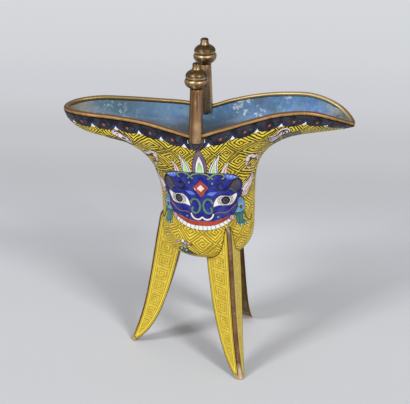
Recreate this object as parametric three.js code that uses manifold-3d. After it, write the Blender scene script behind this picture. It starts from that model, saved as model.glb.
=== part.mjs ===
// Ritual wine cup of the jue form: a three-legged copper cup with a spout, a tail and two rim posts,
// covered in yellow cloisonne enamel outside and blue enamel inside, with gilt metalwork.
// Millimetres, +Z up, standing on Z = 0. The spout points along -X, the tail along +X.

import * as THREE from "three";
import { mergeVertices } from "three/addons/utils/BufferGeometryUtils.js";
import Module from "manifold-3d";

const wasm = await Module();
wasm.setup();

// Driving dimensions of the cup
const spoutReach = 73.1; // from the cup's axis to the end of the spout
const tailReach = 70.9; // from the cup's axis to the end of the tail
const cupRadius = 23.3; // round wall, outside
const wallX = -0.45; // the round wall's middle, a little towards the spout
const wallTopZ = 80; // where the round wall begins to flare
const bowlCentreZ = 76; // where the round wall turns into the bottom
const bowlDepth = 20.3;
const bowlFullness = 3.5; // exponent of the bottom's superellipse, 2 is an ellipse
const axisX = (spoutReach - tailReach) / 2; // puts the origin half way between the two ends

// Layers of the wall, measured inwards from the outer enamel's face
const outerEnamel = [0, 0.6];
const copperWall = [0.75, 1.75];
const innerEnamel = [1.9, 2.4];
const wallThickness = innerEnamel[1];

// Rim band
const bandHalfWidth = 1.45;
const bandHalfHeight = 0.95;
const bandLift = 0.2; // clear space under the band
const bandSides = 8;

// Posts
const rimNotchX = -4; // lowest place of the rim, between the posts
const postRimHalfWidth = 25.7; // the wall's outer face at a post
const postRimZ = 122.8;
const postLean = THREE.MathUtils.degToRad(1.8); // inwards over the mouth
const postFootZ = 121.2;
const shaftFootRadius = 3.45;
const shaftTopRadius = 3.05;
const shaftTopZ = 146.6;
const slotWidth = 3.7;
const slotTopZ = 126.3;
const bulbTopZ = 152.1;
const domeTopZ = 156.4;
const buttonRadius = 2.1;
const overallHeight = 160;
const pinRadius = 1;
const pinDepth = 5; // into the shaft
const pinClearance = 0.15;
const seatGap = 0.2; // between pieces that are soldered or stacked
const latheSides = 18;

// The two hand-made posts: place along the rim, slant towards the tail, and sizes of the finial
const posts = {
  front: { side: -1, x: -3.5, slant: 0.2, bulbRadius: 5.4, domeRadius: 4.95 },
  back: { side: 1, x: -5, slant: -1.3, bulbRadius: 5.9, domeRadius: 5.45 },
};

// Legs
const ridgeHalfWidth = 1;
const ridgeDepth = 1.9;
const plateThickness = 1.3;
const plateEnd = 0.975; // share of the leg's length that the plates cover, above the solid foot
const legStations = 10;
const legTop = 0.055; // share of the leg's lines where it comes out of the wall
const tuckLength = 0.045; // share of the leg's lines over which its top rises out of the wall
const tuckDepth = 2.2;
const bodyClearance = 0.3; // between a leg and the enamel that it meets

// The three hand-bent legs: place round the cup from the tail, turn of the section about the ridge, both in
// degrees, and how far the foot is bent outwards
const legs = {
  spout_leg: { stand: 180, twist: 0, splay: 0.7 },
  front_tail_leg: { stand: -60, twist: -7.5, splay: 0.1 },
  back_tail_leg: { stand: 62.8, twist: 8.3, splay: -1.6 },
};

const material = (color, roughness, metalness) =>
  new THREE.MeshStandardMaterial({ color, roughness, metalness });
const yellowEnamel = material(0xc9a321, 0.28, 0);
const blueEnamel = material(0x4f86b8, 0.35, 0);
const rawCopper = material(0x9a6a45, 0.5, 1);
const giltCopper = material(0xa8824a, 0.35, 1);

// Half of the rim line seen from above and from the side: x from the cup's axis, half width, height.
const rimStations = [
  [tailReach, 0, 124.4],
  [67.9, 7, 127.1],
  [62, 12.6, 130.3],
  [50, 16.2, 133.6],
  [36, 18.7, 133.1],
  [22, 22.9, 130.3],
  [8, 25.8, 126.3],
  [rimNotchX, postRimHalfWidth, postRimZ],
  [-15, 24.6, 124.7],
  [-30, 20, 126.8],
  [-45, 17.4, 128],
  [-58, 15.5, 128.4],
  [-67.5, 10.6, 128.2],
  [-71.9, 5.3, 127.9],
  [-spoutReach, 0, 127.7],
];

// Underside of the spout and of the tail, outwards and upwards from the top of the round wall.
const keel = (a, b) => {
  const path = new THREE.CurvePath();
  path.add(new THREE.CubicBezierCurve(...a.map((p) => new THREE.Vector2(...p))));
  path.add(new THREE.CubicBezierCurve(...b.map((p) => new THREE.Vector2(...p))));
  return path;
};
const spoutKeel = keel(
  [[0, 0], [0, 21], [7.5, 29.6], [23.7, 34.9]],
  [[23.7, 34.9], [35.1, 38.7], [45, 36.5], [49.2, 48]],
);
const tailKeel = keel(
  [[0, 0], [0, 20.4], [-0.6, 29.6], [15.6, 36.6]],
  [[15.6, 36.6], [22.1, 39.3], [38.5, 40.9], [47, 43.6]],
);
const tailKeelSharpness = 6; // how quickly the tail's keel gives way to the rounder flank

const columns = 48;
const bowlRows = 6;
const flareRows = 10;

// The closed rim line, from the tail along +Y to the spout and back along -Y.
function rimCurve() {
  const oneSide = rimStations.map(([x, y, z]) => new THREE.Vector3(x, y, z));
  const otherSide = rimStations
    .slice(1, -1)
    .reverse()
    .map(([x, y, z]) => new THREE.Vector3(x, -y, z));
  const curve = new THREE.CatmullRomCurve3([...oneSide, ...otherSide], true, "centripetal");
  curve.arcLengthDivisions = 1000;
  return curve;
}

// Point of a keel path at t, as shares of its whole reach and rise.
function keelShare(path, t) {
  const halves = path.curves;
  const half = Math.min(Math.floor(t * 2), 1);
  const point = halves[half].getPoint(t * 2 - half);
  const end = halves[1].v3;
  return new THREE.Vector2(point.x / end.x, point.y / end.y);
}

// One column of the cup's outer face, from the bottom's centre to the rim.
function cupColumn(share, rim) {
  const angle = share * 2 * Math.PI;
  const round = new THREE.Vector2(cupRadius * Math.cos(angle), cupRadius * Math.sin(angle));
  const points = [];
  for (let i = 0; i <= bowlRows; i++) {
    const turn = (i / bowlRows) * (Math.PI / 2);
    const out = Math.sin(turn) ** (2 / bowlFullness);
    const z = bowlCentreZ - bowlDepth * Math.cos(turn) ** (2 / bowlFullness);
    points.push(new THREE.Vector3(wallX + round.x * out, round.y * out, z));
  }
  const tailShare = Math.max(0, Math.cos(angle)) ** tailKeelSharpness;
  for (let i = 0; i <= flareRows; i++) {
    const t = i / flareRows;
    const share2 = keelShare(spoutKeel, t).lerp(keelShare(tailKeel, t), tailShare);
    points.push(
      new THREE.Vector3(
        wallX + round.x + (rim.x - wallX - round.x) * share2.x,
        round.y + (rim.y - round.y) * share2.x,
        wallTopZ + (rim.z - wallTopZ) * share2.y,
      ),
    );
  }
  return points;
}

// The outer face as columns of points, and the outward normal at each point.
function cupFace() {
  const curve = rimCurve();
  const grid = [];
  for (let i = 0; i < columns; i++) {
    const share = i / columns;
    grid.push(cupColumn(share, curve.getPointAt(share)));
  }
  const rows = grid[0].length;
  const normals = grid.map((column, i) =>
    column.map((point, j) => {
      if (j === 0) return new THREE.Vector3(0, 0, -1);
      const next = grid[(i + 1) % columns][j];
      const last = grid[(i + columns - 1) % columns][j];
      const above = column[Math.min(j + 1, rows - 1)];
      const below = column[j - 1];
      const along = new THREE.Vector3().subVectors(next, last);
      const up = new THREE.Vector3().subVectors(above, below);
      const normal = along.cross(up);
      if (j === rows - 1) normal.z = 0; // the layers end at one level
      return normal.normalize();
    }),
  );
  return { grid, normals, rows };
}

const face = cupFace();

// The cup's face moved inwards by a depth, or outwards by a negative one.
function faceAt(depth) {
  return face.grid.map((column, i) =>
    column.map((point, j) => point.clone().addScaledVector(face.normals[i][j], -depth)),
  );
}

// Triangles of one face of the cup, wound to face out, or in.
function faceTriangles(grid, outwards) {
  const triangles = [];
  const add = (a, b, c) => triangles.push(outwards ? [a, b, c] : [a, c, b]);
  grid.forEach((column, i) => {
    const next = grid[(i + 1) % grid.length];
    add(grid[0][0], next[1], column[1]);
    for (let j = 1; j < column.length - 1; j++) {
      add(column[j], next[j], next[j + 1]);
      add(column[j], next[j + 1], column[j + 1]);
    }
  });
  return triangles;
}

function geometryFrom(triangles) {
  const points = triangles.flat().flatMap((p) => [p.x, p.y, p.z]);
  const soup = new THREE.BufferGeometry();
  soup.setAttribute("position", new THREE.Float32BufferAttribute(points, 3));
  const merged = mergeVertices(soup, 1e-4);
  merged.computeVertexNormals();
  return merged;
}

// A shell of the cup's wall between two depths.
function cupLayer([outerDepth, innerDepth]) {
  const outer = faceAt(outerDepth);
  const inner = faceAt(innerDepth);
  const triangles = [...faceTriangles(outer, true), ...faceTriangles(inner, false)];
  const top = face.rows - 1;
  outer.forEach((column, i) => {
    const k = (i + 1) % columns;
    triangles.push([column[top], outer[k][top], inner[k][top]]);
    triangles.push([column[top], inner[k][top], inner[i][top]]);
  });
  return geometryFrom(triangles);
}

// Everything inside the cup's outer face, grown a little, closed flat across the mouth.
function filledCup(growth) {
  const outer = faceAt(-growth);
  const triangles = faceTriangles(outer, true);
  const top = face.rows - 1;
  const middle = new THREE.Vector3();
  outer.forEach((column) => middle.addScaledVector(column[top], 1 / columns));
  outer.forEach((column, i) => {
    triangles.push([column[top], outer[(i + 1) % columns][top], middle]);
  });
  return geometryFrom(triangles);
}

// A solid that joins outlines of equal length, in order. A ring joins the last to the first.
function loft(outlines, ring) {
  const triangles = [];
  const count = ring ? outlines.length : outlines.length - 1;
  for (let i = 0; i < count; i++) {
    const a = outlines[i];
    const b = outlines[(i + 1) % outlines.length];
    a.forEach((point, j) => {
      const k = (j + 1) % a.length;
      triangles.push([point, a[k], b[k]]);
      triangles.push([point, b[k], b[j]]);
    });
  }
  if (!ring) {
    const first = outlines[0];
    const last = outlines[outlines.length - 1];
    for (let j = 1; j < first.length - 1; j++) {
      triangles.push([first[0], first[j + 1], first[j]]);
      triangles.push([last[0], last[j], last[j + 1]]);
    }
  }
  return geometryFrom(triangles);
}

// The gilt band that covers the wall's edge.
function rimBand() {
  const middleLine = faceAt(wallThickness / 2).map((column) => column[face.rows - 1]);
  const outlines = middleLine.map((point, i) => {
    const next = middleLine[(i + 1) % columns];
    const last = middleLine[(i + columns - 1) % columns];
    const along = new THREE.Vector3().subVectors(next, last);
    const out = new THREE.Vector3(along.y, -along.x, 0).normalize();
    const outline = [];
    for (let j = 0; j < bandSides; j++) {
      const turn = ((j + 0.5) / bandSides) * 2 * Math.PI;
      const corner = point.clone().addScaledVector(out, bandHalfWidth * Math.cos(turn));
      corner.z += bandLift + bandHalfHeight * (1 + Math.sin(turn));
      outline.push(corner);
    }
    return outline.reverse();
  });
  return loft(outlines, true);
}

// manifold-3d solids, and back
function solidOf(geometry) {
  const bare = new THREE.BufferGeometry();
  bare.setAttribute("position", geometry.getAttribute("position"));
  bare.setIndex(geometry.index);
  const merged = mergeVertices(bare, 1e-4);
  return new wasm.Manifold(
    new wasm.Mesh({
      numProp: 3,
      vertProperties: merged.attributes.position.array,
      triVerts: new Uint32Array(merged.index.array),
    }),
  );
}

function geometryOf(solid) {
  const mesh = solid.getMesh();
  const geometry = new THREE.BufferGeometry();
  geometry.setAttribute("position", new THREE.BufferAttribute(mesh.vertProperties, 3));
  geometry.setIndex(new THREE.BufferAttribute(mesh.triVerts, 1));
  geometry.computeVertexNormals();
  return geometry;
}

// A turned piece about its own Z axis. The profile runs from the axis, out, and back, or closes on itself.
function turned(profile) {
  const points = profile.map(([radius, z]) => new THREE.Vector2(radius, z));
  return new THREE.LatheGeometry(points, latheSides).rotateX(Math.PI / 2);
}

// Points of a quarter of an ellipse, from its widest place to its top, or to its bottom with a negative rise.
function quarter(radius, baseZ, rise, topRadius, steps) {
  const points = [];
  const endTurn = Math.acos(topRadius / radius);
  for (let i = 0; i <= steps; i++) {
    const turn = (i / steps) * endTurn;
    points.push([radius * Math.cos(turn), baseZ + (rise * Math.sin(turn)) / Math.sin(endTurn)]);
  }
  return points;
}

// The forked shaft: its two tines go down either side of the rim.
function postShaft() {
  const boreRadius = pinRadius + pinClearance;
  const boreFloorZ = shaftTopZ - pinDepth - pinClearance;
  const shaft = turned([
    [0, postFootZ],
    [shaftFootRadius, postFootZ],
    [shaftTopRadius, shaftTopZ],
    [boreRadius, shaftTopZ],
    [boreRadius, boreFloorZ],
    [0, boreFloorZ],
  ]);
  const slotDepth = slotTopZ - postFootZ + 2;
  const slot = new THREE.BoxGeometry(4 * shaftFootRadius, slotWidth, slotDepth);
  slot.translate(0, 0, slotTopZ - slotDepth / 2);
  return geometryOf(solidOf(shaft).subtract(solidOf(slot)));
}

// The lower half of the finial, round below with a rolled lip above.
function finialBulb(radius) {
  const bore = pinRadius + pinClearance;
  const footZ = shaftTopZ + seatGap;
  const widestZ = bulbTopZ - 1.8;
  const lip = quarter(radius, widestZ, bulbTopZ - widestZ, radius - 0.6, 3);
  const belly = quarter(radius, widestZ, footZ - widestZ, shaftTopRadius - 0.2, 5).slice(1);
  return turned([[bore, footZ], ...belly.reverse(), ...lip, [bore, bulbTopZ], [bore, footZ]]);
}

// The upper half of the finial, a low dome that stands on the bulb.
function finialDome(radius) {
  const bore = pinRadius + pinClearance;
  const footZ = bulbTopZ + seatGap;
  const widestZ = footZ + 1.4;
  const cap = quarter(radius, widestZ, domeTopZ - widestZ, buttonRadius + 0.5, 5);
  return turned([
    [bore, footZ],
    [radius - 0.5, footZ],
    ...cap,
    [bore, domeTopZ],
    [bore, footZ],
  ]);
}

// The button that tops the finial, with the pin that holds the finial to the shaft.
function finialButton() {
  const footZ = domeTopZ + seatGap;
  const shoulder = quarter(buttonRadius, overallHeight - 0.9, 0.9, 0.6, 3);
  return turned([
    [0, shaftTopZ - pinDepth],
    [pinRadius, shaftTopZ - pinDepth],
    [pinRadius, footZ],
    [buttonRadius + 0.35, footZ],
    [buttonRadius, footZ + 0.7],
    ...shoulder,
    [0, overallHeight],
  ]);
}

// Lines of a leg in its own upright plane, outwards and upwards. They begin inside the cup.
const bezier = (...points) => new THREE.CubicBezierCurve(...points.map((p) => new THREE.Vector2(...p)));
const ridgeLine = bezier([23.7, 82], [30, 52], [31, 22.5], [41.4, 0.9]);
const innerLine = bezier([11.9, 68], [16.8, 46.7], [22.8, 11.2], [39.4, 0.9]);
const soleRadii = [39.1, 41.2];
const innerHalfWidth = (t) => 8.9 - 0.5 * t - 6 * t ** 2.3;

// Turns a section of a leg about its ridge, and moves it outwards as far as the leg is bent there.
function bend(outline, ridgeX, { twist, splay }, t) {
  const ridge = new THREE.Vector3(ridgeX, 0, 0);
  const bent = new THREE.Vector3(ridgeX + splay * t, 0, 0);
  const up = new THREE.Vector3(0, 0, 1);
  const angle = THREE.MathUtils.degToRad(twist);
  return outline.map((point) => point.sub(ridge).applyAxisAngle(up, angle).add(bent));
}

const stations = (from, to, count) =>
  Array.from({ length: count + 1 }, (_, i) => from + ((to - from) * i) / count);

// Stations of a whole leg: close together over its top, then even.
const legStationsTo = (end) => [
  ...stations(legTop, legTop + tuckLength, 3).slice(0, -1),
  ...stations(legTop + tuckLength, end, legStations),
];

// Point of the ridge at t. Its top is tucked into the wall.
function ridgePoint(t) {
  const point = ridgeLine.getPoint(t);
  point.x -= tuckDepth * Math.max(0, 1 - (t - legTop) / tuckLength) ** 2;
  return point;
}

// The solid tip of a leg, down to its flat sole.
function foot(leg) {
  const outlineOf = (ridge, inner, t) => {
    const halfWidth = innerHalfWidth(t);
    const outline = [
      new THREE.Vector3(inner.x, halfWidth, inner.y),
      new THREE.Vector3(ridge.x - 0.45, ridgeHalfWidth, ridge.y),
      new THREE.Vector3(ridge.x, 0, ridge.y),
      new THREE.Vector3(ridge.x - 0.45, -ridgeHalfWidth, ridge.y),
      new THREE.Vector3(inner.x, -halfWidth, inner.y),
    ];
    return bend(outline, ridge.x, leg, t);
  };
  const outlines = stations(plateEnd, 1, 3).map((t) =>
    outlineOf(ridgeLine.getPoint(t), innerLine.getPoint(t), t),
  );
  const [soleInner, soleOuter] = soleRadii.map((radius) => new THREE.Vector2(radius, 0));
  outlines.push(outlineOf(soleOuter, soleInner, 1));
  return loft(outlines, false);
}

// The bar that forms a leg's outer ridge, in one piece with the foot.
function ridgeBar(leg) {
  const outlines = legStationsTo(plateEnd + 0.01).map((t) => {
    const { x, y } = ridgePoint(t);
    const depth = ridgeDepth - 0.5 * t;
    const outline = [
      new THREE.Vector3(x - depth, 0.7 * ridgeHalfWidth, y),
      new THREE.Vector3(x - 0.45, ridgeHalfWidth, y),
      new THREE.Vector3(x, 0, y),
      new THREE.Vector3(x - 0.45, -ridgeHalfWidth, y),
      new THREE.Vector3(x - depth, -0.7 * ridgeHalfWidth, y),
    ];
    return bend(outline, x, leg, t);
  });
  return loft(outlines, false);
}

// Section of a leg's plates at t: the ridge edge, the inner edge, and how far the thickness reaches
// along each of the two cut ends.
function plateSection(t) {
  const ridge = ridgePoint(t);
  const inner = innerLine.getPoint(t);
  const edgeX = ridge.x - 0.6;
  const edgeY = ridgeHalfWidth + seatGap;
  const halfWidth = innerHalfWidth(t);
  const run = edgeX - inner.x;
  const spread = halfWidth - edgeY;
  const length = Math.hypot(run, spread);
  const thickness = plateThickness * (1 - 0.45 * t);
  const cutAtRidge = (thickness * length) / spread;
  const cutAtBack = (thickness * length) / run;
  return { ridge, inner, edgeX, edgeY, halfWidth, cutAtRidge, cutAtBack, slope: spread / run };
}

// An enamelled side plate, from the ridge bar back to the leg's inner edge.
function sidePlate(side, leg) {
  const outlines = legStationsTo(plateEnd - 0.005).map((t) => {
    const section = plateSection(t);
    const { ridge, inner, edgeX, edgeY, halfWidth } = section;
    const outline = [
      new THREE.Vector3(edgeX, side * edgeY, ridge.y),
      new THREE.Vector3(edgeX - section.cutAtRidge, side * edgeY, ridge.y),
      new THREE.Vector3(inner.x, side * (halfWidth - section.cutAtBack), inner.y),
      new THREE.Vector3(inner.x, side * halfWidth, inner.y),
    ];
    return bend(side > 0 ? outline : outline.reverse(), ridge.x, leg, t);
  });
  return loft(outlines, false);
}

// The plain plate that closes a leg towards the cup's axis.
function backPlate(leg) {
  const outlines = legStationsTo(plateEnd - 0.005).map((t) => {
    const { ridge, inner, halfWidth, cutAtBack, slope } = plateSection(t);
    const depth = 1.1 - 0.5 * t;
    const back = halfWidth - cutAtBack - seatGap - 0.1;
    const front = back - depth * slope;
    const outline = [
      new THREE.Vector3(inner.x, back, inner.y),
      new THREE.Vector3(inner.x + depth, front, inner.y),
      new THREE.Vector3(inner.x + depth, -front, inner.y),
      new THREE.Vector3(inner.x, -back, inner.y),
    ];
    return bend(outline, ridge.x, leg, t);
  });
  return loft(outlines, false);
}

function addMesh(group, name, geometry, finish) {
  const mesh = new THREE.Mesh(geometry, finish);
  mesh.name = name;
  group.add(mesh);
}

const cup = new THREE.Group();
cup.position.x = axisX;
addMesh(cup, "copper_cup", cupLayer(copperWall), rawCopper);
addMesh(cup, "outer_enamel", cupLayer(outerEnamel), yellowEnamel);
addMesh(cup, "inner_enamel", cupLayer(innerEnamel), blueEnamel);
addMesh(cup, "rim_band", rimBand(), giltCopper);

// A post with its finial, leaning in over the mouth.
function addPost(name, { side, x, slant, bulbRadius, domeRadius }) {
  const post = new THREE.Group();
  const slotMiddleY = postRimHalfWidth - wallThickness / 2;
  post.position.set(x, side * slotMiddleY, postRimZ);
  post.rotation.set(side * postLean, THREE.MathUtils.degToRad(slant), 0);
  const upright = new THREE.Group();
  upright.position.z = -postRimZ;
  post.add(upright);
  addMesh(upright, name + "_post_shaft", postShaft(), giltCopper);
  addMesh(upright, name + "_finial_bulb", finialBulb(bulbRadius), giltCopper);
  addMesh(upright, name + "_finial_dome", finialDome(domeRadius), giltCopper);
  addMesh(upright, name + "_finial_button", finialButton(), giltCopper);
  cup.add(post);
}
Object.entries(posts).forEach(([name, post]) => addPost(name, post));

// A leg at its place round the cup.
function addLeg(name, leg) {
  const group = new THREE.Group();
  group.rotation.z = THREE.MathUtils.degToRad(leg.stand);
  group.updateMatrixWorld(true);
  const cutter = solidOf(filledCup(bodyClearance).applyMatrix4(group.matrixWorld.clone().invert()));
  const cut = (geometry) => geometryOf(solidOf(geometry).subtract(cutter));
  const ridgeAndFoot = geometryOf(solidOf(ridgeBar(leg)).add(solidOf(foot(leg))));
  addMesh(group, name + "_ridge_bar", cut(ridgeAndFoot), giltCopper);
  addMesh(group, name + "_left_plate", cut(sidePlate(1, leg)), yellowEnamel);
  addMesh(group, name + "_right_plate", cut(sidePlate(-1, leg)), yellowEnamel);
  addMesh(group, name + "_back_plate", cut(backPlate(leg)), rawCopper);
  cup.add(group);
}
Object.entries(legs).forEach(([name, leg]) => addLeg(name, leg));

const part = new THREE.Group();
part.add(cup);
export default part;
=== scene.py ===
"""Ritual wine cup of the jue form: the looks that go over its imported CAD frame.

A three-legged copper cup with a spout, a tail and two rim posts. The outside is yellow cloisonne enamel
with a fret ground, a beast mask, a crest, clouds and a ruyi border. The inside is mottled blue enamel.
Sizes in the classes are millimetres, measured from the cup's own axis; finished meshes are metres in the
frame of the CAD.
"""

import logging
import math
from dataclasses import dataclass
from enum import Enum
from typing import Any, Callable, Iterable, Sequence

import bpy
import numpy as np
from mathutils import Matrix, Vector
from mathutils.bvhtree import BVHTree
from mathutils.geometry import delaunay_2d_cdt


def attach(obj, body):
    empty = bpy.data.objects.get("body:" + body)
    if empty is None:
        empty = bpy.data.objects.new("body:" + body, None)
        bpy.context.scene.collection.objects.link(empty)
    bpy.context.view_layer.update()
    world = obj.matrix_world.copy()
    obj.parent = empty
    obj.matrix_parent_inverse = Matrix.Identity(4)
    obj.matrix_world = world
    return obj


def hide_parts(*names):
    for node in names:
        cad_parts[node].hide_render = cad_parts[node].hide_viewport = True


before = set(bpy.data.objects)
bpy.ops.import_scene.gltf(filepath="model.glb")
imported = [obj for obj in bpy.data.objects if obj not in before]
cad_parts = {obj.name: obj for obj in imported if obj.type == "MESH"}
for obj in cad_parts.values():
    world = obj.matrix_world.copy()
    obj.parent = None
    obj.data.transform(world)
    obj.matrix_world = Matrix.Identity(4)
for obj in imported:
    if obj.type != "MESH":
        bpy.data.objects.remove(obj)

log = logging.getLogger("wine_cup")
MM = 0.001  # Metres to the millimetre.
AXIS_X = 1.1  # The cup's own axis, in millimetres in the frame of the CAD.
BODY = "root"  # The one body that every piece rides on.
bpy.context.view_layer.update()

Point2 = Sequence[float]
Outline = list[tuple[float, float]]


# ---------------------------------------------------------------------------------------------- shaders


def srgb(code: str) -> tuple[float, float, float, float]:
    """Turn a hex colour into linear light.

    Args:
        code: Colour as "#rrggbb".

    Returns:
        Linear red, green, blue and an alpha of 1.
    """
    parts = [int(code[i : i + 2], 16) / 255 for i in (1, 3, 5)]
    linear = [c / 12.92 if c <= 0.04045 else ((c + 0.055) / 1.055) ** 2.4 for c in parts]
    return (*linear, 1.0)


class Val:
    """A number in a node tree that takes part in Python expressions."""

    def __init__(self, tree: "Tree", socket: bpy.types.NodeSocket) -> None:
        """Wrap an output socket of a tree."""
        self.tree = tree
        self.socket = socket

    def __add__(self, other: Any) -> "Val":
        """Add."""
        return self.tree.math("ADD", self, other)

    __radd__ = __add__

    def __sub__(self, other: Any) -> "Val":
        """Subtract."""
        return self.tree.math("SUBTRACT", self, other)

    def __rsub__(self, other: Any) -> "Val":
        """Subtract from."""
        return self.tree.math("SUBTRACT", other, self)

    def __mul__(self, other: Any) -> "Val":
        """Multiply."""
        return self.tree.math("MULTIPLY", self, other)

    __rmul__ = __mul__

    def __truediv__(self, other: Any) -> "Val":
        """Divide."""
        return self.tree.math("DIVIDE", self, other)

    def abs(self) -> "Val":
        """Size without its sign."""
        return self.tree.math("ABSOLUTE", self)

    def frac(self) -> "Val":
        """Part after the decimal point, counted up from the whole number below."""
        return self.tree.math("FRACT", self)

    def floor(self) -> "Val":
        """Whole number below."""
        return self.tree.math("FLOOR", self)

    def above(self, limit: Any) -> "Val":
        """Give 1 where the value is above the limit, and 0 elsewhere."""
        return self.tree.math("GREATER_THAN", self, limit)

    def larger(self, other: Any) -> "Val":
        """Larger of the two."""
        return self.tree.math("MAXIMUM", self, other)

    def smaller(self, other: Any) -> "Val":
        """Smaller of the two."""
        return self.tree.math("MINIMUM", self, other)

    def ramp(self, low: float, high: float, start: float = 0.0, end: float = 1.0) -> "Val":
        """Map a range smoothly onto another, held at its ends.

        Args:
            low: Where the result is start.
            high: Where the result is end.
            start: Result at low.
            end: Result at high.

        Returns:
            The mapped value.
        """
        flipped = low > high
        spread = {"From Min": min(low, high), "From Max": max(low, high)}
        limits = {"To Min": end if flipped else start, "To Max": start if flipped else end}
        settings = {"interpolation_type": "SMOOTHSTEP"}
        inputs = {"Value": self, **spread, **limits}
        return Val(self.tree, self.tree.node("ShaderNodeMapRange", settings, inputs))


class Tree:
    """The node tree of one material, with numbers for the sockets of a Mix node that blends colours."""

    mix_factor = 0
    mix_first = 6
    mix_second = 7
    mix_result = 2

    def __init__(self, name: str) -> None:
        """Start an empty tree.

        Args:
            name: Name of the material.
        """
        self.material = bpy.data.materials.new(name)
        self.material.use_nodes = True
        self.nodes = self.material.node_tree.nodes
        self.links = self.material.node_tree.links
        self.nodes.clear()

    def node(self, kind: str, settings: dict[str, Any], inputs: dict[Any, Any], output: Any = 0) -> Any:
        """Add a node.

        Args:
            kind: Type of the node.
            settings: Its properties, set first.
            inputs: Values or links of its sockets, by name or number.
            output: Name or number of the socket to give back.

        Returns:
            The output socket.
        """
        made = self.nodes.new(kind)
        for key, value in settings.items():
            setattr(made, key, value)
        for key, value in inputs.items():
            socket = made.inputs[key]
            if isinstance(value, Val):
                self.links.new(value.socket, socket)
            elif isinstance(value, bpy.types.NodeSocket):
                self.links.new(value, socket)
            else:
                socket.default_value = value
        return made.outputs[output] if len(made.outputs) else made

    def math(self, operation: str, *values: Any) -> Val:
        """Add a Math node on up to three values."""
        return Val(self, self.node("ShaderNodeMath", {"operation": operation}, dict(enumerate(values))))

    def place(self) -> Any:
        """Position in the object's own coordinates."""
        return self.node("ShaderNodeTexCoord", {}, {}, "Object")

    def axis(self, number: int) -> Val:
        """One of the object's own coordinates, in metres."""
        return Val(self, self.node("ShaderNodeSeparateXYZ", {}, {0: self.place()}, number))

    def uv(self, name: str) -> tuple[Val, Val]:
        """Both coordinates of a UV map, which are millimetres here.

        Args:
            name: Name of the map.

        Returns:
            Its two coordinates.
        """
        vector = self.node("ShaderNodeUVMap", {"uv_map": name}, {})
        split = self.node("ShaderNodeSeparateXYZ", {}, {0: vector}, 0).node
        return Val(self, split.outputs[0]), Val(self, split.outputs[1])

    def joined(self, x: Any, y: Any, z: Any = 0.0) -> Any:
        """Vector of three values."""
        return self.node("ShaderNodeCombineXYZ", {}, {0: x, 1: y, 2: z})

    def noise(self, scale: float, detail: float = 3.0, roughness: float = 0.55, at: Any = None) -> Val:
        """Smooth noise.

        Args:
            scale: Features to the unit.
            detail: Octaves.
            roughness: Share of each finer octave.
            at: Vector to read it at, else the object's coordinates.

        Returns:
            Value from 0 to 1, around 0.5.
        """
        inputs = {"Vector": self.place() if at is None else at, "Scale": scale, "Detail": detail}
        inputs["Roughness"] = roughness
        return Val(self, self.node("ShaderNodeTexNoise", {}, inputs, "Fac"))

    def cells(self, scale: float, at: Any = None) -> Val:
        """Distance to the nearest of scattered points, so many to the unit, in units of a cell."""
        inputs = {"Vector": self.place() if at is None else at, "Scale": scale}
        return Val(self, self.node("ShaderNodeTexVoronoi", {}, inputs, "Distance"))

    def mix(self, factor: Any, first: Any, second: Any) -> Any:
        """Blend two colours.

        Args:
            factor: Share of the second.
            first: Colour socket, linear colour or "#rrggbb".
            second: The same.

        Returns:
            Colour socket.
        """
        start, end = (srgb(colour) if isinstance(colour, str) else colour for colour in (first, second))
        inputs = {self.mix_factor: factor, self.mix_first: start, self.mix_second: end}
        settings = {"data_type": "RGBA", "clamp_factor": True}
        return self.node("ShaderNodeMix", settings, inputs, self.mix_result)

    def bump(self, height: Val, reach: float) -> Any:
        """Normal that follows a height, where a height of 1 is so many millimetres."""
        inputs = {"Strength": 1.0, "Distance": reach * MM, "Height": height}
        return self.node("ShaderNodeBump", {}, inputs)

    def principled(self, **sockets: Any) -> Any:
        """Add a principled shader, its inputs named with underscores for spaces."""
        inputs = {key.replace("_", " "): value for key, value in sockets.items()}
        return self.node("ShaderNodeBsdfPrincipled", {}, inputs)

    def close(self, shader: Any) -> bpy.types.Material:
        """End the tree with a shader and give its material."""
        self.node("ShaderNodeOutputMaterial", {}, {"Surface": shader})
        return self.material


# ---------------------------------------------------------------------------------------------- finishes


@dataclass(frozen=True)
class EnamelFinish:
    """Fused glass of one colour: cloudy, pitted here and there, and ground smooth."""

    name: str
    colour: str
    clouding: float = 0.16
    darkest: float = 0.62
    veil: float = 0.05
    pit_share: float = 0.1

    def material(self) -> bpy.types.Material:
        """Build the material.

        Returns:
            The material, with its nodes linked.
        """
        tree = Tree(self.name)
        base = srgb(self.colour)
        dark = tuple(c * self.darkest for c in base[:3]) + (1.0,)
        light = tuple(c * (1 - self.veil) + self.veil for c in base[:3]) + (1.0,)
        cloud = tree.noise(260, 3)
        colour = tree.mix(cloud.ramp(0.35, 0.68), dark, light)
        colour = tree.mix(1 - self.clouding * 3, colour, base)
        pits = tree.cells(1500).ramp(self.pit_share + 0.08, self.pit_share)
        worn = pits * tree.noise(180, 2).ramp(0.5, 0.62)
        colour = tree.mix(worn * 0.75, colour, "#2a2118")
        roughness = tree.noise(420, 2).ramp(0.3, 0.7, 0.32, 0.48) + worn * 0.3
        normal = tree.bump(tree.noise(700, 2) * 0.5 + cloud * 0.3 - worn * 0.5, 0.05)
        return tree.close(
            tree.principled(
                Base_Color=colour, Roughness=roughness, Normal=normal, Specular_IOR_Level=0.25
            )
        )


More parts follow.
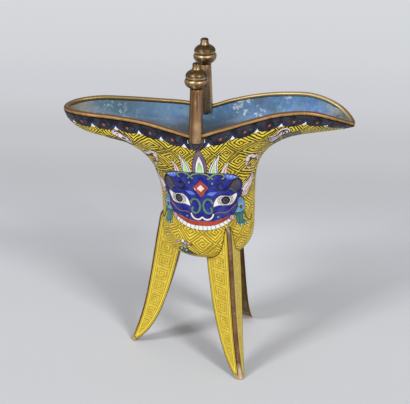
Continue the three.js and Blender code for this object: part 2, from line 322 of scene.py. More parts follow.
class Glass(Enum):
    """Colours of the enamel cells."""

    COBALT = EnamelFinish("cobalt_enamel", "#17208a", 0.22)
    SKY = EnamelFinish("sky_enamel", "#5f7edb")
    MIST = EnamelFinish("mist_enamel", "#a3b6ec")
    INK = EnamelFinish("ink_enamel", "#12121d", 0.2)
    NAVY = EnamelFinish("navy_enamel", "#15172e", 0.2)
    ROYAL = EnamelFinish("royal_enamel", "#1f2656", 0.2)
    BLACK = EnamelFinish("black_enamel", "#0f0e15")
    SLATE = EnamelFinish("slate_enamel", "#47424c")
    PINE = EnamelFinish("pine_enamel", "#33453f")
    OLIVE = EnamelFinish("olive_enamel", "#66703c")
    RED = EnamelFinish("red_enamel", "#b5392b")
    RUST = EnamelFinish("rust_enamel", "#8c6a62")
    MAROON = EnamelFinish("maroon_enamel", "#421418")
    WHITE = EnamelFinish("white_enamel", "#efeee8", 0.06)
    IVORY = EnamelFinish("ivory_enamel", "#ecdcd8", 0.08)
    PINK = EnamelFinish("pink_enamel", "#deb4bb")
    LILAC = EnamelFinish("lilac_enamel", "#cbb6dc")
    PLUM = EnamelFinish("plum_enamel", "#76607c")
    LEAF = EnamelFinish("leaf_enamel", "#b2de9e")
    SCROLL = EnamelFinish("scroll_enamel", "#84aa6c")
    JADE = EnamelFinish("jade_enamel", "#5a8478")
    TEAL = EnamelFinish("teal_enamel", "#397f80")
    AQUA = EnamelFinish("aqua_enamel", "#62a3cf")
    ICE = EnamelFinish("ice_enamel", "#bfe0e4", 0.08)
    TAN = EnamelFinish("tan_enamel", "#86746e")
    STRAW = EnamelFinish("straw_enamel", "#c3a85a", 0.25)


@dataclass(frozen=True)
class MetalFinish:
    """Gilt or bare copper alloy: toned by age, browner in the hollows, bright where it is rubbed."""

    name: str
    colour: str
    tone: str
    rubbed: str
    rubbed_share: float = 0.35
    roughness: float = 0.34

    def material(self) -> bpy.types.Material:
        """Build the material.

        Returns:
            The material, with its nodes linked.
        """
        tree = Tree(self.name)
        stain = tree.noise(95, 5, 0.62)
        fine = tree.noise(900, 3)
        colour = tree.mix(stain.ramp(0.36, 0.62), self.tone, self.colour)
        rub = (tree.noise(150, 4, 0.7) + fine * 0.25).ramp(0.78 - self.rubbed_share * 0.45, 0.86)
        colour = tree.mix(rub * 0.8, colour, self.rubbed)
        pits = tree.cells(1300).ramp(0.16, 0.06) * tree.noise(240, 2).ramp(0.5, 0.6)
        colour = self.graded(tree, tree.mix(pits * 0.8, colour, "#2b1c12"))
        dull = stain.ramp(0.3, 0.7, self.roughness + 0.12, self.roughness - 0.06)
        normal = tree.bump(fine * 0.4 + tree.noise(320, 2) * 0.8 - pits * 0.8, 0.06)
        return tree.close(
            tree.principled(
                Base_Color=colour, Roughness=dull + fine * 0.1 + pits * 0.2, Metallic=0.9, Normal=normal
            )
        )

    def graded(self, tree: Tree, colour: Any) -> Any:
        """Colour after what changes along the piece, which is nothing here."""
        return colour


@dataclass(frozen=True)
class RidgeFinish(MetalFinish):
    """Bare copper of a leg's ridge: greyer at its head, and pale at the foot, partly rubbed and partly a
    painted highlight.
    """

    name: str = "ridge_copper"
    colour: str = "#a47a56"
    tone: str = "#76523a"
    rubbed: str = "#c79c7c"
    rubbed_share: float = 0.25
    roughness: float = 0.4
    head: tuple[float, float] = (0.066, 0.072)
    foot: tuple[float, float] = (0.009, 0.004)

    def graded(self, tree: Tree, colour: Any) -> Any:
        """Colour with the grey head and the pale foot, partly a painted highlight, mixed in.

        Args:
            tree: The tree to write in.
            colour: The colour so far.

        Returns:
            The colour with its changes mixed in.
        """
        z = tree.axis(2)
        colour = tree.mix(z.ramp(*self.head) * 0.7, colour, "#8a8070")
        # The pale foot is partly rubbed copper and partly a painted highlight.
        return tree.mix(z.ramp(*self.foot) * 0.8, colour, "#eacdb6")


@dataclass(frozen=True)
class PostFinish(MetalFinish):
    """Gilt copper with upright dark and pale streaks, partly wear and partly painted reflection."""

    streaks_across: float = 620.0
    streaks_along: float = 22.0

    def graded(self, tree: Tree, colour: Any) -> Any:
        """Colour with dark and pale streaks mixed in.

        Args:
            tree: The tree to write in.
            colour: The colour so far.

        Returns:
            The colour with its changes mixed in.
        """
        x, y = tree.axis(0) * self.streaks_across, tree.axis(1) * self.streaks_across
        # The dark and pale streaks are partly wear and partly painted reflection.
        wear_and_reflection_streak = tree.noise(1.0, 3, 0.6, at=tree.joined(x, y, tree.axis(2) * self.streaks_along))
        colour = tree.mix(wear_and_reflection_streak.ramp(0.48, 0.38) * 0.75, colour, "#654a30")
        return tree.mix(wear_and_reflection_streak.ramp(0.58, 0.66) * 0.7, colour, "#efdab4")


@dataclass(frozen=True)
class ShaftFinish(PostFinish):
    """The same, browner on the side of the front shaft that faces the spout."""

    front: tuple[float, float] = (-0.004, -0.012)
    spout_side: tuple[float, float] = (-0.0021, -0.0034)

    def graded(self, tree: Tree, colour: Any) -> Any:
        """Colour with the brown side mixed in."""
        brown = tree.axis(1).ramp(*self.front) * tree.axis(0).ramp(*self.spout_side)
        return tree.mix(brown * 0.62, super().graded(tree, colour), "#7c5228")


@dataclass(frozen=True)
class FinialFinish(PostFinish):
    """The same in bands of painted reflection: a painted highlight on both sides of the seam, and painted
    shade and dark reflection above and below.

    Each ring has the heights in metres where it starts and ends, its colour and its strength.
    """

    painted_reflection_bands: tuple = (
        ((0.1000, 0.1010), (0.1492, 0.1470), "#46341c", 0.6),
        ((0.1505, 0.1512), (0.1521, 0.1519), "#d6bb90", 0.35),
        ((0.1522, 0.1525), (0.1537, 0.1531), "#e2caa6", 0.45),
        ((0.1534, 0.1541), (0.1565, 0.1561), "#4a3b22", 0.72),
        ((0.1587, 0.1594), (0.1604, 0.1602), "#33270f", 0.8),
    )

    def graded(self, tree: Tree, colour: Any) -> Any:
        """Colour with the painted reflection bands mixed in.

        Args:
            tree: The tree to write in.
            colour: The colour so far.

        Returns:
            The colour with its changes mixed in.
        """
        colour = super().graded(tree, colour)
        z = tree.axis(2)
        # Painted light: each band is a highlight or a shade that stands in for the studio's reflections.
        for start, end, tint, share in self.painted_reflection_bands:
            colour = tree.mix(z.ramp(*start) * z.ramp(*end) * share, colour, tint)
        return colour


class Metal(Enum):
    """Finishes of the bare metal."""

    FINIAL = FinialFinish("gilt_finial", "#a38357", "#745a3c", "#cdae86", 0.1, 0.34)
    BRONZE = ShaftFinish("toned_gilt_copper", "#d0aa80", "#a5805c", "#e4c6a2", 0.2, 0.26)
    AGED = MetalFinish("aged_bronze", "#8d7344", "#634d29", "#b09562", 0.2, 0.42)
    COPPER = MetalFinish("raw_copper", "#8f6247", "#5a3d2a", "#d3a07f", 0.3, 0.4)
    GOLD_WIRE = MetalFinish("gold_wire", "#b98f4a", "#7b5a2c", "#e2c48a", 0.4, 0.3)
    DARK_WIRE = MetalFinish("dark_wire", "#54381f", "#2c1c12", "#8d6638", 0.2, 0.36)


@dataclass(frozen=True)
class FretFinish:
    """Yellow enamel over a lattice of square spirals in flat wire, read from a map in millimetres.

    The flanks of the flare are seen at a slant, so the lattice is spread across there.
    """

    name: str = "yellow_fret_enamel"
    cell: float = 8.3
    strip: float = 0.46
    pitch: float = 1.19
    wire: float = 0.54
    wire_edge: tuple[float, float] = (0.62, 0.42)
    wander: float = 0.9
    raggedness: float = 0.34
    flank: tuple[float, float] = (13.0, 40.0)
    flank_height: tuple[float, float] = (5.0, 17.0)
    flank_spread: float = 9.0

    def spiral(self, x: Val, y: Val) -> Val:
        """Distance to the wire of a square spiral about the origin, in millimetres.

        Args:
            x: Distance across from the origin, in millimetres.
            y: Distance up from the origin, in millimetres.

        Returns:
            The distance, never negative.
        """
        upper = x.abs().larger(y) / self.pitch
        lower = (x - self.pitch * 0.5).abs().larger(y * -1) / self.pitch + 0.5
        side = y.above(0)
        turns = upper * side + lower * (1 - side)
        return ((turns + 0.5).frac() - 0.5).abs() * self.pitch

    def drawn(self, distance: Val) -> Val:
        """Where a wire runs, from the distance to its middle."""
        return distance.ramp(self.wire * self.wire_edge[0], self.wire * self.wire_edge[1])

    def material(self) -> bpy.types.Material:
        """Build the material.

        Returns:
            The material, with its nodes linked.
        """
        tree = Tree(self.name)
        across, up = tree.uv("unrolled")
        flat = tree.joined(across, up)
        side = across.abs()
        spread = side.ramp(*self.flank, 0.0, self.flank_spread) * up.ramp(*self.flank_height)
        across = across * (1 - spread / side.larger(1.0))
        across = across + (tree.noise(0.35, 2, at=flat) - 0.5) * self.wander
        up = up + (tree.noise(0.33, 2, at=tree.joined(across, up, 7.0)) - 0.5) * self.wander
        diagonal = math.sqrt(0.5) / self.cell
        a = (across + up) * diagonal + 0.5
        b = (up - across) * diagonal + 0.5
        odd = ((a.floor() + b.floor()) * 0.5).frac() * 2
        x = (a.frac() - 0.5) * self.cell
        y = (b.frac() - 0.5) * self.cell * (1 - odd * 2)
        edge = x.abs().larger(y.abs())
        reach = self.cell / 2 - self.strip
        inside = edge.ramp(reach + 0.1, reach - 0.02)
        uneven = (tree.noise(0.7, 3, at=flat) - 0.5) * self.raggedness
        wire = self.drawn(self.spiral(x, y) + uneven) * inside
        return self.enamel(tree, wire.larger(self.drawn((edge - reach).abs())), inside, flat, up)

    def enamel(self, tree: Tree, wire: Val, inside: Val, flat: Any, up: Val) -> bpy.types.Material:
        """Colour the enamel and its wires.

        Args:
            tree: The tree to write in.
            wire: Where the wires are.
            inside: Where the spirals are, apart from the plain strips.
            flat: Vector of the map.
            up: Height on the map.

        Returns:
            The finished material.
        """
        cloud = tree.noise(0.22, 4, 0.6, at=flat)
        grain = tree.noise(2.6, 3, at=flat)
        ground = tree.mix(cloud.ramp(0.34, 0.66), "#e2c024", "#f9e044")
        ground = tree.mix(grain.ramp(0.4, 0.7) * 0.35, ground, "#fdea6c")
        ground = tree.mix((1 - inside) * 0.6, ground, "#fbe44e")
        stain = tree.noise(0.09, 5, 0.65, at=flat).ramp(0.52, 0.66)
        ground = tree.mix(stain * 0.4, ground, "#b08a1c")
        brown = tree.noise(0.42, 3, 0.6, at=tree.joined(up, cloud * 3, up * 0.3)).ramp(0.52, 0.66)
        ground = tree.mix(brown * 0.3, ground, "#93741a")
        rust = tree.noise(0.13, 4, 0.6, at=tree.joined(up, cloud, 11.0)).ramp(0.56, 0.68)
        ground = tree.mix(rust * 0.3, ground, "#c98a3c")
        pits = tree.cells(1.5, at=flat).ramp(0.16, 0.07) * tree.noise(0.16, 2, at=flat).ramp(0.53, 0.63)
        burns = tree.cells(0.16, at=flat).ramp(0.13, 0.07) * tree.noise(0.05, 2, at=flat).ramp(0.5, 0.56)
        pits = pits.larger(burns)
        ground = tree.mix(pits * 0.9, ground, "#2a1d0c")
        metal = tree.mix(tree.noise(0.5, 3, at=flat).ramp(0.5, 0.75) * 0.5, "#261b05", "#654c14")
        metal = tree.mix(rust * 0.6, metal, "#7c3f16")
        metal = tree.mix(up.ramp(16.0, -8.0) * 0.8, metal, "#a88626")
        height = wire * 0.7 + grain * 0.25 + tree.noise(0.5, 2, at=flat) * 0.8 - pits * 0.6
        return tree.close(
            tree.principled(
                Base_Color=tree.mix(wire * 0.96, ground, metal),
                Roughness=wire * 0.08 + grain.ramp(0.3, 0.7, 0.36, 0.5) + pits * 0.2,
                Metallic=wire * 0.12,
                Normal=tree.bump(height, 0.05),
                Specular_IOR_Level=0.3,
            )
        )


@dataclass(frozen=True)
class PanelFinish(FretFinish):
    """The same enamel on the legs: a column of spirals in a double frame line, copper at its edge."""

    name: str = "yellow_panel_enamel"
    pitch: float = 0.86
    wire: float = 0.34
    wire_edge: tuple[float, float] = (0.8, 0.4)
    wander: float = 0.5
    margin: float = 2.3
    outer_line: float = 1.05
    column: float = 5.2
    height: float = 7.6
    sheet: tuple[float, float] = (0.55, 0.42)

    def material(self) -> bpy.types.Material:
        """Build the material.

        Returns:
            The material, with its nodes linked.
        """
        tree = Tree(self.name)
        across, _ = tree.uv("panel")
        up = tree.axis(2) / MM
        half, to_tip = tree.uv("panel_size")
        flat = tree.joined(across, up)
        gap = (half - across.abs()).smaller(to_tip * 0.5)
        frame_line = (gap - self.outer_line).abs().ramp(0.3, 0.16)
        border = (gap - self.margin).abs().ramp(0.24, 0.12)
        x = across / (half - self.margin).larger(0.3) * (self.column / 2)
        x = x + (tree.noise(0.5, 2, at=flat) - 0.5) * self.wander
        turn = (up / self.height).frac() - 0.5
        odd = ((up / self.height).floor() * 0.5).frac() * 2
        wire = self.drawn(self.spiral(x * (1 - odd * 2), turn * self.column))
        inside = gap.ramp(self.margin - 0.05, self.margin + 0.05)
        rows = turn.abs().ramp(0.49, 0.47)
        wire = (wire * inside * rows * 0.62).larger(frame_line).larger(border * 0.75)
        return self.panel_enamel(tree, wire, inside, flat, gap)

    def panel_enamel(self, tree: Tree, wire: Val, inside: Val, flat: Any, gap: Val) -> bpy.types.Material:
        """Colour the panel, with the copper sheet bare at its edge.

        Args:
            tree: The tree to write in.
            wire: Where the wires are.
            inside: Where the spirals are.
            flat: Vector of the map.
            gap: Distance from the panel's edge.

        Returns:
            The finished material.
        """
        cloud = tree.noise(0.3, 4, 0.6, at=flat)
        grain = tree.noise(2.6, 3, at=flat)
        ground = tree.mix(cloud.ramp(0.34, 0.66), "#d6b22a", "#edd142")
        ground = tree.mix((1 - inside) * 0.85, ground, "#f4d83e")
        ground = tree.mix(grain.ramp(0.4, 0.7) * 0.3, ground, "#f4dd68")
        pits = tree.cells(1.2, at=flat).ramp(0.14, 0.06) * tree.noise(0.2, 2, at=flat).ramp(0.52, 0.62)
        ground = tree.mix(pits * 0.8, ground, "#33220f")
        metal = tree.mix(tree.noise(0.8, 2, at=flat).ramp(0.45, 0.6), "#735c12", "#9a8024")
        edge = (gap + (grain - 0.5) * 0.25).ramp(*self.sheet)
        height = wire * 0.5 + grain * 0.25 + edge * 0.8 - pits * 0.6
        return tree.close(
            tree.principled(
                Base_Color=tree.mix(edge, tree.mix(wire * 0.8, ground, metal), "#5e4126"),
                Roughness=wire * 0.08 + grain.ramp(0.3, 0.7, 0.34, 0.48) + edge * 0.05,
                Metallic=(wire * 0.2).larger(edge * 0.85),
                Normal=tree.bump(height, 0.06),
                Specular_IOR_Level=0.3,
            )
        )


@dataclass(frozen=True)
class LiningFinish:
    """Counter enamel inside the cup: thin, mottled blue and turquoise, with pale worn patches, and
    painted shade down its throat.

    Each pair of numbers is two places along an axis, in metres, between which a tint sets in.
    """

    name: str = "blue_lining_enamel"
    painted_throat_shade: tuple[float, float] = (0.1222, 0.1132)
    painted_well_shade: tuple[float, float] = (0.109, 0.098)
    worn: tuple = ((0.0, 0.008), (0.04, 0.02))
    mouth: tuple = ((-0.046, -0.034), (-0.012, -0.022))
    spout: tuple[float, float] = (-0.024, -0.052)
    spout_tip: tuple[float, float] = (-0.056, -0.066)
    tail_tip: tuple[float, float] = (0.0555, 0.0635)

    def material(self) -> bpy.types.Material:
        """Build the material.

        Returns:
            The material, with its nodes linked.
        """
        tree = Tree(self.name)
        x, z = tree.axis(0), tree.axis(2)
        drift = tree.noise(75, 4, 0.65)
        fine = tree.noise(420, 4, 0.7)
        worn, mouth = (x.ramp(*start) * x.ramp(*end) for start, end in (self.worn, self.mouth))
        spout = x.ramp(*self.spout)
        colour = tree.mix(tree.noise(42, 4, 0.6).ramp(0.4, 0.6), "#587f9c", "#6189b8")
        colour = tree.mix(drift.ramp(0.5, 0.6) * 0.8, colour, "#4a71a6")
        colour = tree.mix(tree.noise(33, 3, 0.6).ramp(0.54, 0.64) * 0.7, colour, "#83a0ad")
        colour = tree.mix(mouth * 0.35, colour, "#86a5ce")
        colour = tree.mix(spout * 0.75, colour, "#4e646d")
        colour = tree.mix(fine.ramp(0.5, 0.68) * 0.55, colour, "#9cb4c8")
        rust = (tree.noise(80, 5, 0.75) + (fine - 0.5) * 0.4).ramp(0.52, 0.64)
        colour = tree.mix(rust * 0.6, colour, "#5b6c74")
        pale = (tree.noise(60, 5, 0.75) + (fine - 0.5) * 0.5 + worn * 0.05).ramp(0.61, 0.69)
        colour = tree.mix(pale * (0.85 - spout * 0.45), colour, "#cdd6da")
        pits = tree.cells(1100).ramp(0.2, 0.08) * tree.noise(130, 2).ramp(0.46, 0.6)
        colour = tree.mix(pits * 0.7, colour, "#26424e")
        # Painted shade: the lining darkens down the throat and turns bluer deeper in the well.
        shade = tree.mix(z.ramp(*self.painted_well_shade), "#30393d", "#41607c")
        colour = tree.mix(z.ramp(*self.painted_throat_shade) * 0.92, colour, shade)
        colour = tree.mix(x.ramp(*self.spout_tip) * 0.6, colour, "#9a8d72")
        stain = tree.mix(drift.ramp(0.42, 0.55), "#4d5040", "#8f9080")
        colour = tree.mix(x.ramp(*self.tail_tip) * (0.45 + fine) * 0.9, colour, stain)
        roughness = fine.ramp(0.3, 0.7, 0.5, 0.7) + pits * 0.2
        normal = tree.bump(fine * 0.6 + drift * 0.6 - pits * 0.8, 0.08)
        return tree.close(tree.principled(Base_Color=colour, Roughness=roughness, Normal=normal))


@dataclass(frozen=True)
class BandFinish:
    """Gilt of the rim band, brown along both of its edges, with a painted highlight on its crown on the
    far side towards the tail.

    The first coordinate of its map runs from 0 to 1 round the band's section, from below and outwards.
    """

    name: str = "gilt_band"
    highlit_far_side: tuple[float, float] = (-0.002, 0.008)
    highlit_tail_side: tuple[float, float] = (0.002, 0.022)

    def material(self) -> bpy.types.Material:
        """Build the material.

        Returns:
            The material, with its nodes linked.
        """
        tree = Tree(self.name)
        turn, along = tree.uv("band")
        flat = tree.joined(turn * 3, along)
        stain = tree.noise(0.35, 4, 0.6, at=flat)
        fine = tree.noise(3.0, 3, at=flat)
        crown = turn + (stain - 0.5) * 0.08
        gold = tree.mix(stain.ramp(0.35, 0.65), "#a98449", "#c6a063")
        colour = tree.mix(crown.ramp(0.27, 0.36), gold, "#8b6348")
        colour = tree.mix(crown.ramp(0.45, 0.52) * 0.8, colour, "#a58c62")
        colour = tree.mix(crown.ramp(0.6, 0.72), colour, "#a08852")
        # Painted highlight: the crown is lightened on the far side towards the tail.
        bright = tree.axis(1).ramp(*self.highlit_far_side) * tree.axis(0).ramp(*self.highlit_tail_side)
        colour = tree.mix(bright * crown.ramp(0.46, 0.58) * 0.6, colour, "#e2cb96")
        colour = tree.mix(crown.ramp(0.2, 0.1), colour, "#3f2c1d")
        colour = tree.mix(tree.noise(0.6, 4, 0.7, at=flat).ramp(0.55, 0.7) * 0.4, colour, "#a37a66")
        colour = tree.mix(fine.ramp(0.6, 0.8) * 0.3, colour, "#d5ba88")
        roughness = stain.ramp(0.3, 0.7, 0.5, 0.4) + fine * 0.1
        normal = tree.bump(fine * 0.4 + stain * 0.6, 0.07)
        return tree.close(
            tree.principled(Base_Color=colour, Roughness=roughness, Metallic=0.88, Normal=normal)
        )


@dataclass(frozen=True)
class BackdropFinish:
    """Pale paper of the table and the backdrop, which brightens towards the back; the grading of the
    table's own colour with distance is painted light.

    The table is lit. Behind it the camera sees bands of light instead, each with the two distances in
    metres between which it sets in, and its colour.
    """

    name: str = "pale_paper"
    near: str = "#cacccf"
    middle: str = "#cfd0d3"
    far: str = "#dddee1"
    bands: tuple = (
        (0.16, 0.3, "#babbbf"),
        (0.21, 0.32, "#c4c5c9"),
        (0.33, 0.46, "#cecfd4"),
        (0.46, 0.62, "#d3d5d9"),
        (0.6, 0.82, "#d6d8dc"),
    )

    def material(self) -> bpy.types.Material:
        """Build the material.

        Returns:
            The material, with its nodes linked.
        """
        tree = Tree(self.name)
        away = tree.axis(1)
        paper = tree.mix(tree.noise(30, 2) * 0.05, self.near, "#b9bbbe")
        # Painted light: the table grows paler with distance to make up for the lamps' falloff, and the
        # far patch lifts the shade behind the cup.
        paper = tree.mix(away.ramp(-0.06, 0.02), paper, self.middle)
        paper = tree.mix(away.ramp(0.05, 0.13) * away.ramp(0.2, 0.13), paper, self.far)
        (first, last, glow), *bands = self.bands
        for start, end, colour in bands:
            glow = tree.mix(away.ramp(start, end), glow, colour)
        seen = Val(tree, tree.node("ShaderNodeLightPath", {}, {}, "Is Camera Ray"))
        shader = tree.principled(Base_Color=paper, Roughness=0.9)
        light = tree.node("ShaderNodeEmission", {}, {"Color": glow})
        inputs = {0: seen * away.ramp(first, last + 0.02), 1: shader, 2: light}
        return tree.close(tree.node("ShaderNodeMixShader", {}, inputs))


# ---------------------------------------------------------------------------------------------- lines


def hermite(start: Any, end: Any, leave: Any, arrive: Any, t: Any) -> Any:
    """Point at t of a cubic curve between two points.

    Args:
        start: The first point.
        end: The last point.
        leave: Slope at the first.
        arrive: Slope at the last.
        t: Share of the way, or a column of them.

    Returns:
        The point, or a row for each share.
    """
    bend = 3 * (end - start) - 2 * leave - arrive
    return start + leave * t + bend * t**2 + (2 * (start - end) + leave + arrive) * t**3


def bezier(line: Sequence[Point2], t: float) -> np.ndarray:
    """Point at t of a cubic curve that is given by its ends and the two handles between them."""
    a, b, c, d = (np.array(p, float) for p in line)
    return a * (1 - t) ** 3 + 3 * b * t * (1 - t) ** 2 + 3 * c * t * t * (1 - t) + d * t**3


def distances(line: np.ndarray) -> np.ndarray:
    """Distance along a line at each of its points."""
    return np.concatenate([[0], np.cumsum(np.linalg.norm(np.diff(line, axis=0), axis=1))])


# ---------------------------------------------------------------------------------------------- meshes


class Workshop:
    """Small tools that every piece is made with."""

    weld = 1e-7

    def __init__(self) -> None:
        """Start with no materials made."""
        self.made: dict[str, bpy.types.Material] = {}

    def material(self, finish: Any) -> bpy.types.Material:
        """Give the material of a finish, made once.

        Args:
            finish: A finish, or an Enum member that holds one.

        Returns:
            Its material.
        """
        chosen = finish.value if isinstance(finish, Enum) else finish
        if chosen.name not in self.made:
            self.made[chosen.name] = chosen.material()
        return self.made[chosen.name]

    def alone(self, piece: bpy.types.Object) -> None:
        """Leave one object selected and active.

        Args:
            piece: The object to select.
        """
        bpy.ops.object.select_all(action="DESELECT")
        piece.select_set(True)
        bpy.context.view_layer.objects.active = piece

    def mesh(
        self, name: str, points: Iterable[Point2], faces: Iterable[Sequence[int]]
    ) -> bpy.types.Object:
        """Make an object from points and faces.

        Args:
            name: Name of the object.
            points: Points in millimetres from the cup's axis.
            faces: Corner numbers of each face.

        Returns:
            The object, in metres in the frame of the CAD.
        """
        data = bpy.data.meshes.new(name)
        data.from_pydata([((x + AXIS_X) * MM, y * MM, z * MM) for x, y, z in points], [], list(faces))
        data.update()
        made = bpy.data.objects.new(name, data)
        bpy.context.collection.objects.link(made)
        return made

    def smooth(self, piece: bpy.types.Object, angle: float) -> None:
        """Shade smooth, apart from edges sharper than an angle in degrees."""
        self.alone(piece)
        bpy.ops.object.shade_smooth_by_angle(angle=math.radians(angle))

    def outwards(self, piece: bpy.types.Object) -> None:
        """Merge doubles and turn every face outwards.

        Args:
            piece: The object whose mesh is put right.
        """
        self.alone(piece)
        bpy.ops.object.mode_set(mode="EDIT")
        bpy.ops.mesh.select_all(action="SELECT")
        bpy.ops.mesh.remove_doubles(threshold=self.weld)
        bpy.ops.mesh.normals_make_consistent(inside=False)
        bpy.ops.object.mode_set(mode="OBJECT")

    def boolean(self, piece: bpy.types.Object, other: bpy.types.Object, operation: str) -> None:
        """Apply a boolean modifier.

        Args:
            piece: The object that is changed.
            other: The tool of the operation, which stays.
            operation: DIFFERENCE or UNION.
        """
        self.alone(piece)
        modifier = piece.modifiers.new("cut", "BOOLEAN")
        modifier.operation = operation
        modifier.solver = "EXACT"
        modifier.object = other
        bpy.ops.object.modifier_apply(modifier=modifier.name)

    def remove(self, piece: bpy.types.Object) -> None:
        """Delete a tool object with its mesh.

        Args:
            piece: The tool object.
        """
        data = piece.data
        bpy.data.objects.remove(piece)
        bpy.data.meshes.remove(data)

    def paint(self, piece: bpy.types.Object, *finishes: Any) -> None:
        """Give a piece its material slots, in order.

        Args:
            piece: The object.
            finishes: The finishes of its slots.
        """
        piece.data.materials.clear()
        for finish in finishes:
            piece.data.materials.append(self.material(finish))

    def hand_in(self, piece: bpy.types.Object, slot: str, *nodes: str) -> None:
        """Ride a finished piece on the body and hide the CAD nodes that it replaces.

        Args:
            piece: The finished object.
            slot: Not used.
            *nodes: CAD nodes that it replaces.
        """
        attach(piece, BODY)
        if nodes:
            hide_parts(*nodes)
        log.info("%s: %d faces", piece.name, len(piece.data.polygons))


shop = Workshop()


@dataclass
class CupSurface:
    """The boat-mouthed face of the cup: a round wall over a full bowl, with a flaring spout and tail."""

    radius: float = 23.3
    wall_x: float = -0.45
    wall_top: float = 80.0
    bowl_centre: float = 76.0
    bowl_depth: float = 20.3
    bowl_fullness: float = 3.5
    tail_sharpness: float = 6.0
    columns: int = 192
    bowl_rows: int = 18
    flare_rows: int = 40
    rim_steps: int = 80
    plug_rows: int = 12
    plug_growth: float = 0.04
    rim_stations: tuple = (
        (70.9, 0, 124.4),
        (67.9, 7, 127.1),
        (62, 12.6, 130.3),
        (50, 16.2, 133.6),
        (36, 18.7, 133.1),
        (22, 22.9, 130.3),
        (8, 25.8, 126.3),
        (-4, 25.7, 122.8),
        (-15, 24.6, 124.7),
        (-30, 20, 126.8),
        (-45, 17.4, 128),
        (-58, 15.5, 128.4),
        (-67.5, 10.6, 128.2),
        (-71.9, 5.3, 127.9),
        (-73.1, 0, 127.7),
    )
    spout_keel: tuple = (
        ((0, 0), (0, 21), (7.5, 29.6), (23.7, 34.9)),
        ((23.7, 34.9), (35.1, 38.7), (45, 36.5), (49.2, 48)),
    )
    tail_keel: tuple = (
        ((0, 0), (0, 20.4), (-0.6, 29.6), (15.6, 36.6)),
        ((15.6, 36.6), (22.1, 39.3), (38.5, 40.9), (47, 43.6)),
    )

    def __post_init__(self) -> None:
        """Lay out the grid of points, its normals and its unrolled coordinates."""
        rim = self.rim_line()
        angle = np.arange(self.columns) / self.columns * 2 * math.pi
        ring = np.stack([np.cos(angle), np.sin(angle)], 1) * self.radius
        middle = np.array([self.wall_x, 0.0])
        rows = []
        for i in range(self.bowl_rows + 1):
            turn = i / self.bowl_rows * math.pi / 2
            power = 2 / self.bowl_fullness
            height = self.bowl_centre - self.bowl_depth * max(math.cos(turn), 0) ** power
            rows.append(
                np.column_stack([ring * math.sin(turn) ** power + middle, np.full(self.columns, height)])
            )
        tail = np.maximum(0, np.cos(angle))[:, None] ** self.tail_sharpness
        for i in range(self.flare_rows + 1):
            t = i / self.flare_rows
            to_spout, to_tail = (self.keel_share(keel, t) for keel in (self.spout_keel, self.tail_keel))
            share = to_spout * (1 - tail) + to_tail * tail
            level = self.wall_top + (rim[:, 2] - self.wall_top) * share[:, 1]
            wall = ring + middle
            rows.append(np.column_stack([wall + (rim[:, :2] - wall) * share[:, :1], level]))
        self.points = np.stack(rows, 1)
        self.normals = self.face_normals()
        self.measure_front()

    def rim_line(self) -> np.ndarray:
        """Points at equal steps along the rim, from the tail along +Y to the spout and back.

        Returns:
            The points, one row for each column of the grid.
        """
        one_side = [np.array(p, float) for p in self.rim_stations]
        knots = np.array(one_side + [p * (1, -1, 1) for p in one_side[-2:0:-1]])
        t = np.linspace(0, 1, self.rim_steps, endpoint=False)[:, None]
        pieces = []
        for i in range(len(knots)):
            before, start, end, after = near = [knots[(i + k) % len(knots)] for k in (-1, 0, 1, 2)]
            a, b, c = (math.sqrt(np.linalg.norm(q - p)) for p, q in zip(near, near[1:]))
            leave = ((start - before) / a - (end - before) / (a + b) + (end - start) / b) * b
            arrive = ((end - start) / b - (after - start) / (b + c) + (after - end) / c) * b
            pieces.append(hermite(start, end, leave, arrive, t))
        line = np.vstack(pieces + [knots[:1]])
        run = distances(line)
        self.rim_length = float(run[-1])
        at = np.linspace(0, run[-1], self.columns, endpoint=False)
        return np.stack([np.interp(at, run, line[:, k]) for k in range(3)], 1)

    def keel_share(self, halves: tuple, t: float) -> np.ndarray:
        """Point of a keel at t, as shares of its whole reach and rise."""
        half = min(int(t * 2), 1)
        return bezier(halves[half], t * 2 - half) / halves[1][3]

    def face_normals(self) -> np.ndarray:
        """Outward normals of the grid, level along the rim.

        Returns:
            Unit vectors in the grid's own order.
        """
        along = np.roll(self.points, -1, 0) - np.roll(self.points, 1, 0)
        up = np.empty_like(self.points)
        up[:, 1:-1] = self.points[:, 2:] - self.points[:, :-2]
        up[:, -1] = self.points[:, -1] - self.points[:, -2]
        up[:, 0] = (1, 0, 0)
        normals = np.cross(along, up)
        normals[:, -1, 2] = 0
        normals[:, 0] = (0, 0, -1)
        return normals / np.linalg.norm(normals, axis=2)[:, :, None]

    def measure_front(self) -> None:
        """Measure the front half along its rows and columns, and index it for laying ornament on it."""
        half = self.columns // 2
        self.front = np.concatenate([self.points[half:], self.points[:1]])
        self.front_normals = np.concatenate([self.normals[half:], self.normals[:1]])
        steps = np.linalg.norm(np.diff(self.front, axis=0), axis=2)
        across = np.concatenate([np.zeros((1, steps.shape[1])), np.cumsum(steps, 0)])
        self.across = across - across[half // 2]
        steps = np.linalg.norm(np.diff(self.front, axis=1), axis=2)
        up = np.concatenate([np.zeros((steps.shape[0], 1)), np.cumsum(steps, 1)], 1)
        self.up = up - up[:, self.bowl_rows + 1 : self.bowl_rows + 2]
        rows = self.front.shape[1]
        self.flat_points = [(x, y, 0) for x, y in zip(self.across.ravel(), self.up.ravel())]
        self.flat_faces = []
        for i in range(half):
            for j in range(1, rows - 1):
                a, b = i * rows + j, (i + 1) * rows + j
                self.flat_faces += [(a, b, b + 1), (a, b + 1, a + 1)]
        self.index = BVHTree.FromPolygons(self.flat_points, self.flat_faces, all_triangles=True)

